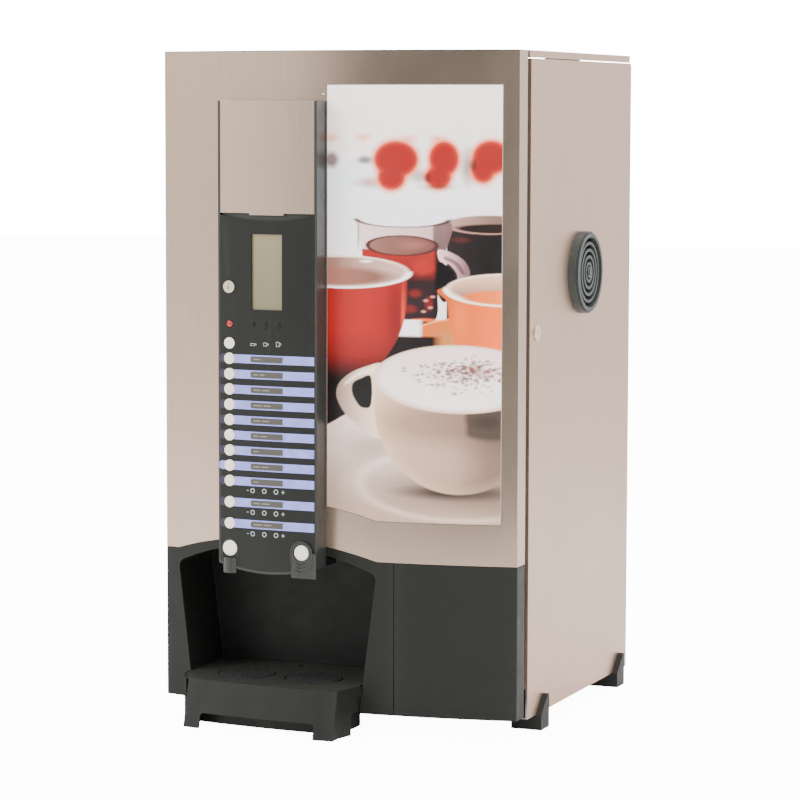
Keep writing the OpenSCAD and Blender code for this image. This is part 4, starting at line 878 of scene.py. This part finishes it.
def make_door_trims():
    """A thin dark bead along the door's top edge and the small rivet beside the column."""
    half, steps = HALF_W - 0.6 * MM, 40
    top = SKIN_HIGH.z - 0.5 * MM
    path = [Vector((x, bow_y(x, 0.15 * MM), top))
            for x in (half * (2 * i / steps - 1) for i in range(steps + 1))]
    # a thin dark bead drawn along the door's top edge, just under the lid
    make_rib("door_top_dark_bead", path, 0.9 * MM, "door", "fascia_plastic")
    column_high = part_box("control_housing")[1]
    x, z = column_high.x - 3.5 * MM, column_high.z + 8 * MM
    bm = bmesh.new()
    bmesh.ops.create_uvsphere(bm, u_segments=16, v_segments=8, radius=1.8 * MM)
    for v in bm.verts:
        v.co = Vector((x + v.co.x, bow_y(x) + v.co.y * 0.35, z + v.co.z))
    for face in bm.faces:
        face.smooth = True
    mesh = bpy.data.meshes.new("door_rivet")
    bm.to_mesh(mesh)
    bm.free()
    add_piece("door_rivet", mesh, "door", "lock_metal")


def make_lamps():
    """Domed lenses for the red lamp and the three unlit lamps; together they stand for the CAD lamps."""
    low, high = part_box("indicator_lamps")
    display_low, display_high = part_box("display")
    middle = (display_low.x + display_high.x) / 2
    z = (low.z + high.z) / 2
    red = button_x_of("drink_button_01")
    dark = finish_of("fascia_plastic")
    spots = [("lamp_red", red, 4.2 * MM, None)]
    spots += [("lamp_dark_%d" % (k + 2), middle - LAMP_LEFT + k * LAMP_PITCH, 4.6 * MM, dark)
              for k in (-1, 0, 1)]
    for name, x, r, finish in spots:
        bm = bmesh.new()
        rings = []
        for share, rise in ((1.0, -0.4), (1.0, 0.35), (0.86, 0.62), (0.6, 0.78), (0.3, 0.85)):
            rings.append([bm.verts.new((x + share * r * math.cos(t), bow_y(x, FASCIA_OUT + rise * MM),
                                        z + share * r * math.sin(t)))
                          for t in (2 * math.pi * k / 32 for k in range(32))])
        for a, b in zip(rings, rings[1:]):
            for k in range(32):
                bm.faces.new((a[k], a[(k + 1) % 32], b[(k + 1) % 32], b[k]))
        bm.faces.new(rings[0])
        bm.faces.new(rings[-1][::-1])
        bmesh.ops.recalc_face_normals(bm, faces=bm.faces)
        for face in bm.faces:
            face.smooth = len(face.verts) == 4
        mesh = bpy.data.meshes.new(name)
        bm.to_mesh(mesh)
        bm.free()
        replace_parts(add_piece(name, mesh, "door", "lamp_plastic", finish), "indicator_lamps")
    core = Print(FASCIA_OUT + 0.9 * MM)
    core.disc(red, z, 1.5 * MM)
    core.piece("lamp_core", print_ink("lamp_dark", linear(190, 40, 44)))


# ---------------------------------------------------------------- stage
def make_flag():
    """A dark studio flag ahead of the door, seen only in reflections: it puts the dark tone on the right."""
    y, bottom, top = FRONT_Y - 1.7, 0.0, 2.6
    left, right = -0.74, 0.72
    mesh = bpy.data.meshes.new("flag")
    corners = [(left, y, bottom), (right, y, bottom), (right, y, top), (left, y, top)]
    mesh.from_pydata(corners, [], [(0, 1, 2, 3)])
    flag = link_object("flag", mesh)
    flag.visible_camera = False
    flag.visible_shadow = False
    flag.visible_diffuse = False
    n = Nodes("flag")
    n.colour(n.mix(n.noise(3), (0.022, 0.034, 0.036, 1), (0.032, 0.046, 0.048, 1)))
    n.set(Roughness=1.0)
    mesh.materials.append(n.material)


def make_stage():
    """A pale floor, a bright studio surround with one dark side in front of the door, and soft lamps."""
    floor_mesh = bpy.data.meshes.new("floor")
    side = 14
    floor_mesh.from_pydata([(-side, -side, 0), (side, -side, 0), (side, side, 0), (-side, side, 0)], [],
                           [(0, 1, 2, 3)])
    floor = link_object("floor", floor_mesh)
    floor.location.z = CAD_LOW.z - 0.0003
    n = Nodes("floor")
    n.colour(n.mix(n.noise(0.6), (0.9, 0.89, 0.88, 1), (0.94, 0.935, 0.93, 1)))
    n.set(Roughness=0.75)
    sheen = n.add("ShaderNodeEmission")
    both = n.add("ShaderNodeAddShader")
    boost = n.add("ShaderNodeMath", operation="MULTIPLY")
    boost.inputs[1].default_value = 12.0
    n.link(n.add("ShaderNodeLightPath").outputs["Is Camera Ray"], boost.inputs[0])
    n.link(boost.outputs[0], sheen.inputs["Strength"])
    n.link(n.shader.outputs["BSDF"], both.inputs[0])
    n.link(sheen.outputs["Emission"], both.inputs[1])
    n.link(both.outputs["Shader"], n.tree.nodes["Material Output"].inputs["Surface"])
    floor.data.materials.append(n.material)
    make_flag()

    world = bpy.data.worlds.new("studio")
    bpy.context.scene.world = world
    world.use_nodes = True
    tree = world.node_tree
    tree.nodes.clear()
    add = tree.nodes.new
    plain = add("ShaderNodeBackground")
    plain.inputs["Color"].default_value = (1, 1, 1, 1)
    plain.inputs["Strength"].default_value = 16.0
    lit = add("ShaderNodeBackground")
    lit.inputs["Color"].default_value = (1.0, 0.985, 0.965, 1)
    lit.inputs["Strength"].default_value = 1.7
    path = add("ShaderNodeLightPath")
    mix = add("ShaderNodeMixShader")
    out = add("ShaderNodeOutputWorld")
    tree.links.new(path.outputs["Is Camera Ray"], mix.inputs["Fac"])
    tree.links.new(lit.outputs["Background"], mix.inputs[1])
    tree.links.new(plain.outputs["Background"], mix.inputs[2])
    tree.links.new(mix.outputs["Shader"], out.inputs["Surface"])

    middle = (CAD_LOW + CAD_HIGH) / 2
    for name, spot, size, power in (("key", (-2.4, -2.6, 2.6), 1.8, 110), ("side", (3.2, -0.6, 1.8), 1.8, 60),
                                    ("top", (0.2, 0.4, 3.2), 2.0, 60), ("back", (-1.4, 3.0, 2.2), 1.8, 60)):
        lamp = bpy.data.lights.new(name, "AREA")
        lamp.size = size
        lamp.energy = power
        obj = bpy.data.objects.new(name, lamp)
        bpy.context.scene.collection.objects.link(obj)
        obj.location = spot
        obj.rotation_euler = (middle - Vector(spot)).to_track_quat("-Z", "Y").to_euler()


make_camera()
make_stage()
finish_cad_nodes()
make_poster()
make_column_print()
make_column_ribs()
make_stripe_ends()
make_door_trims()
make_lamps()
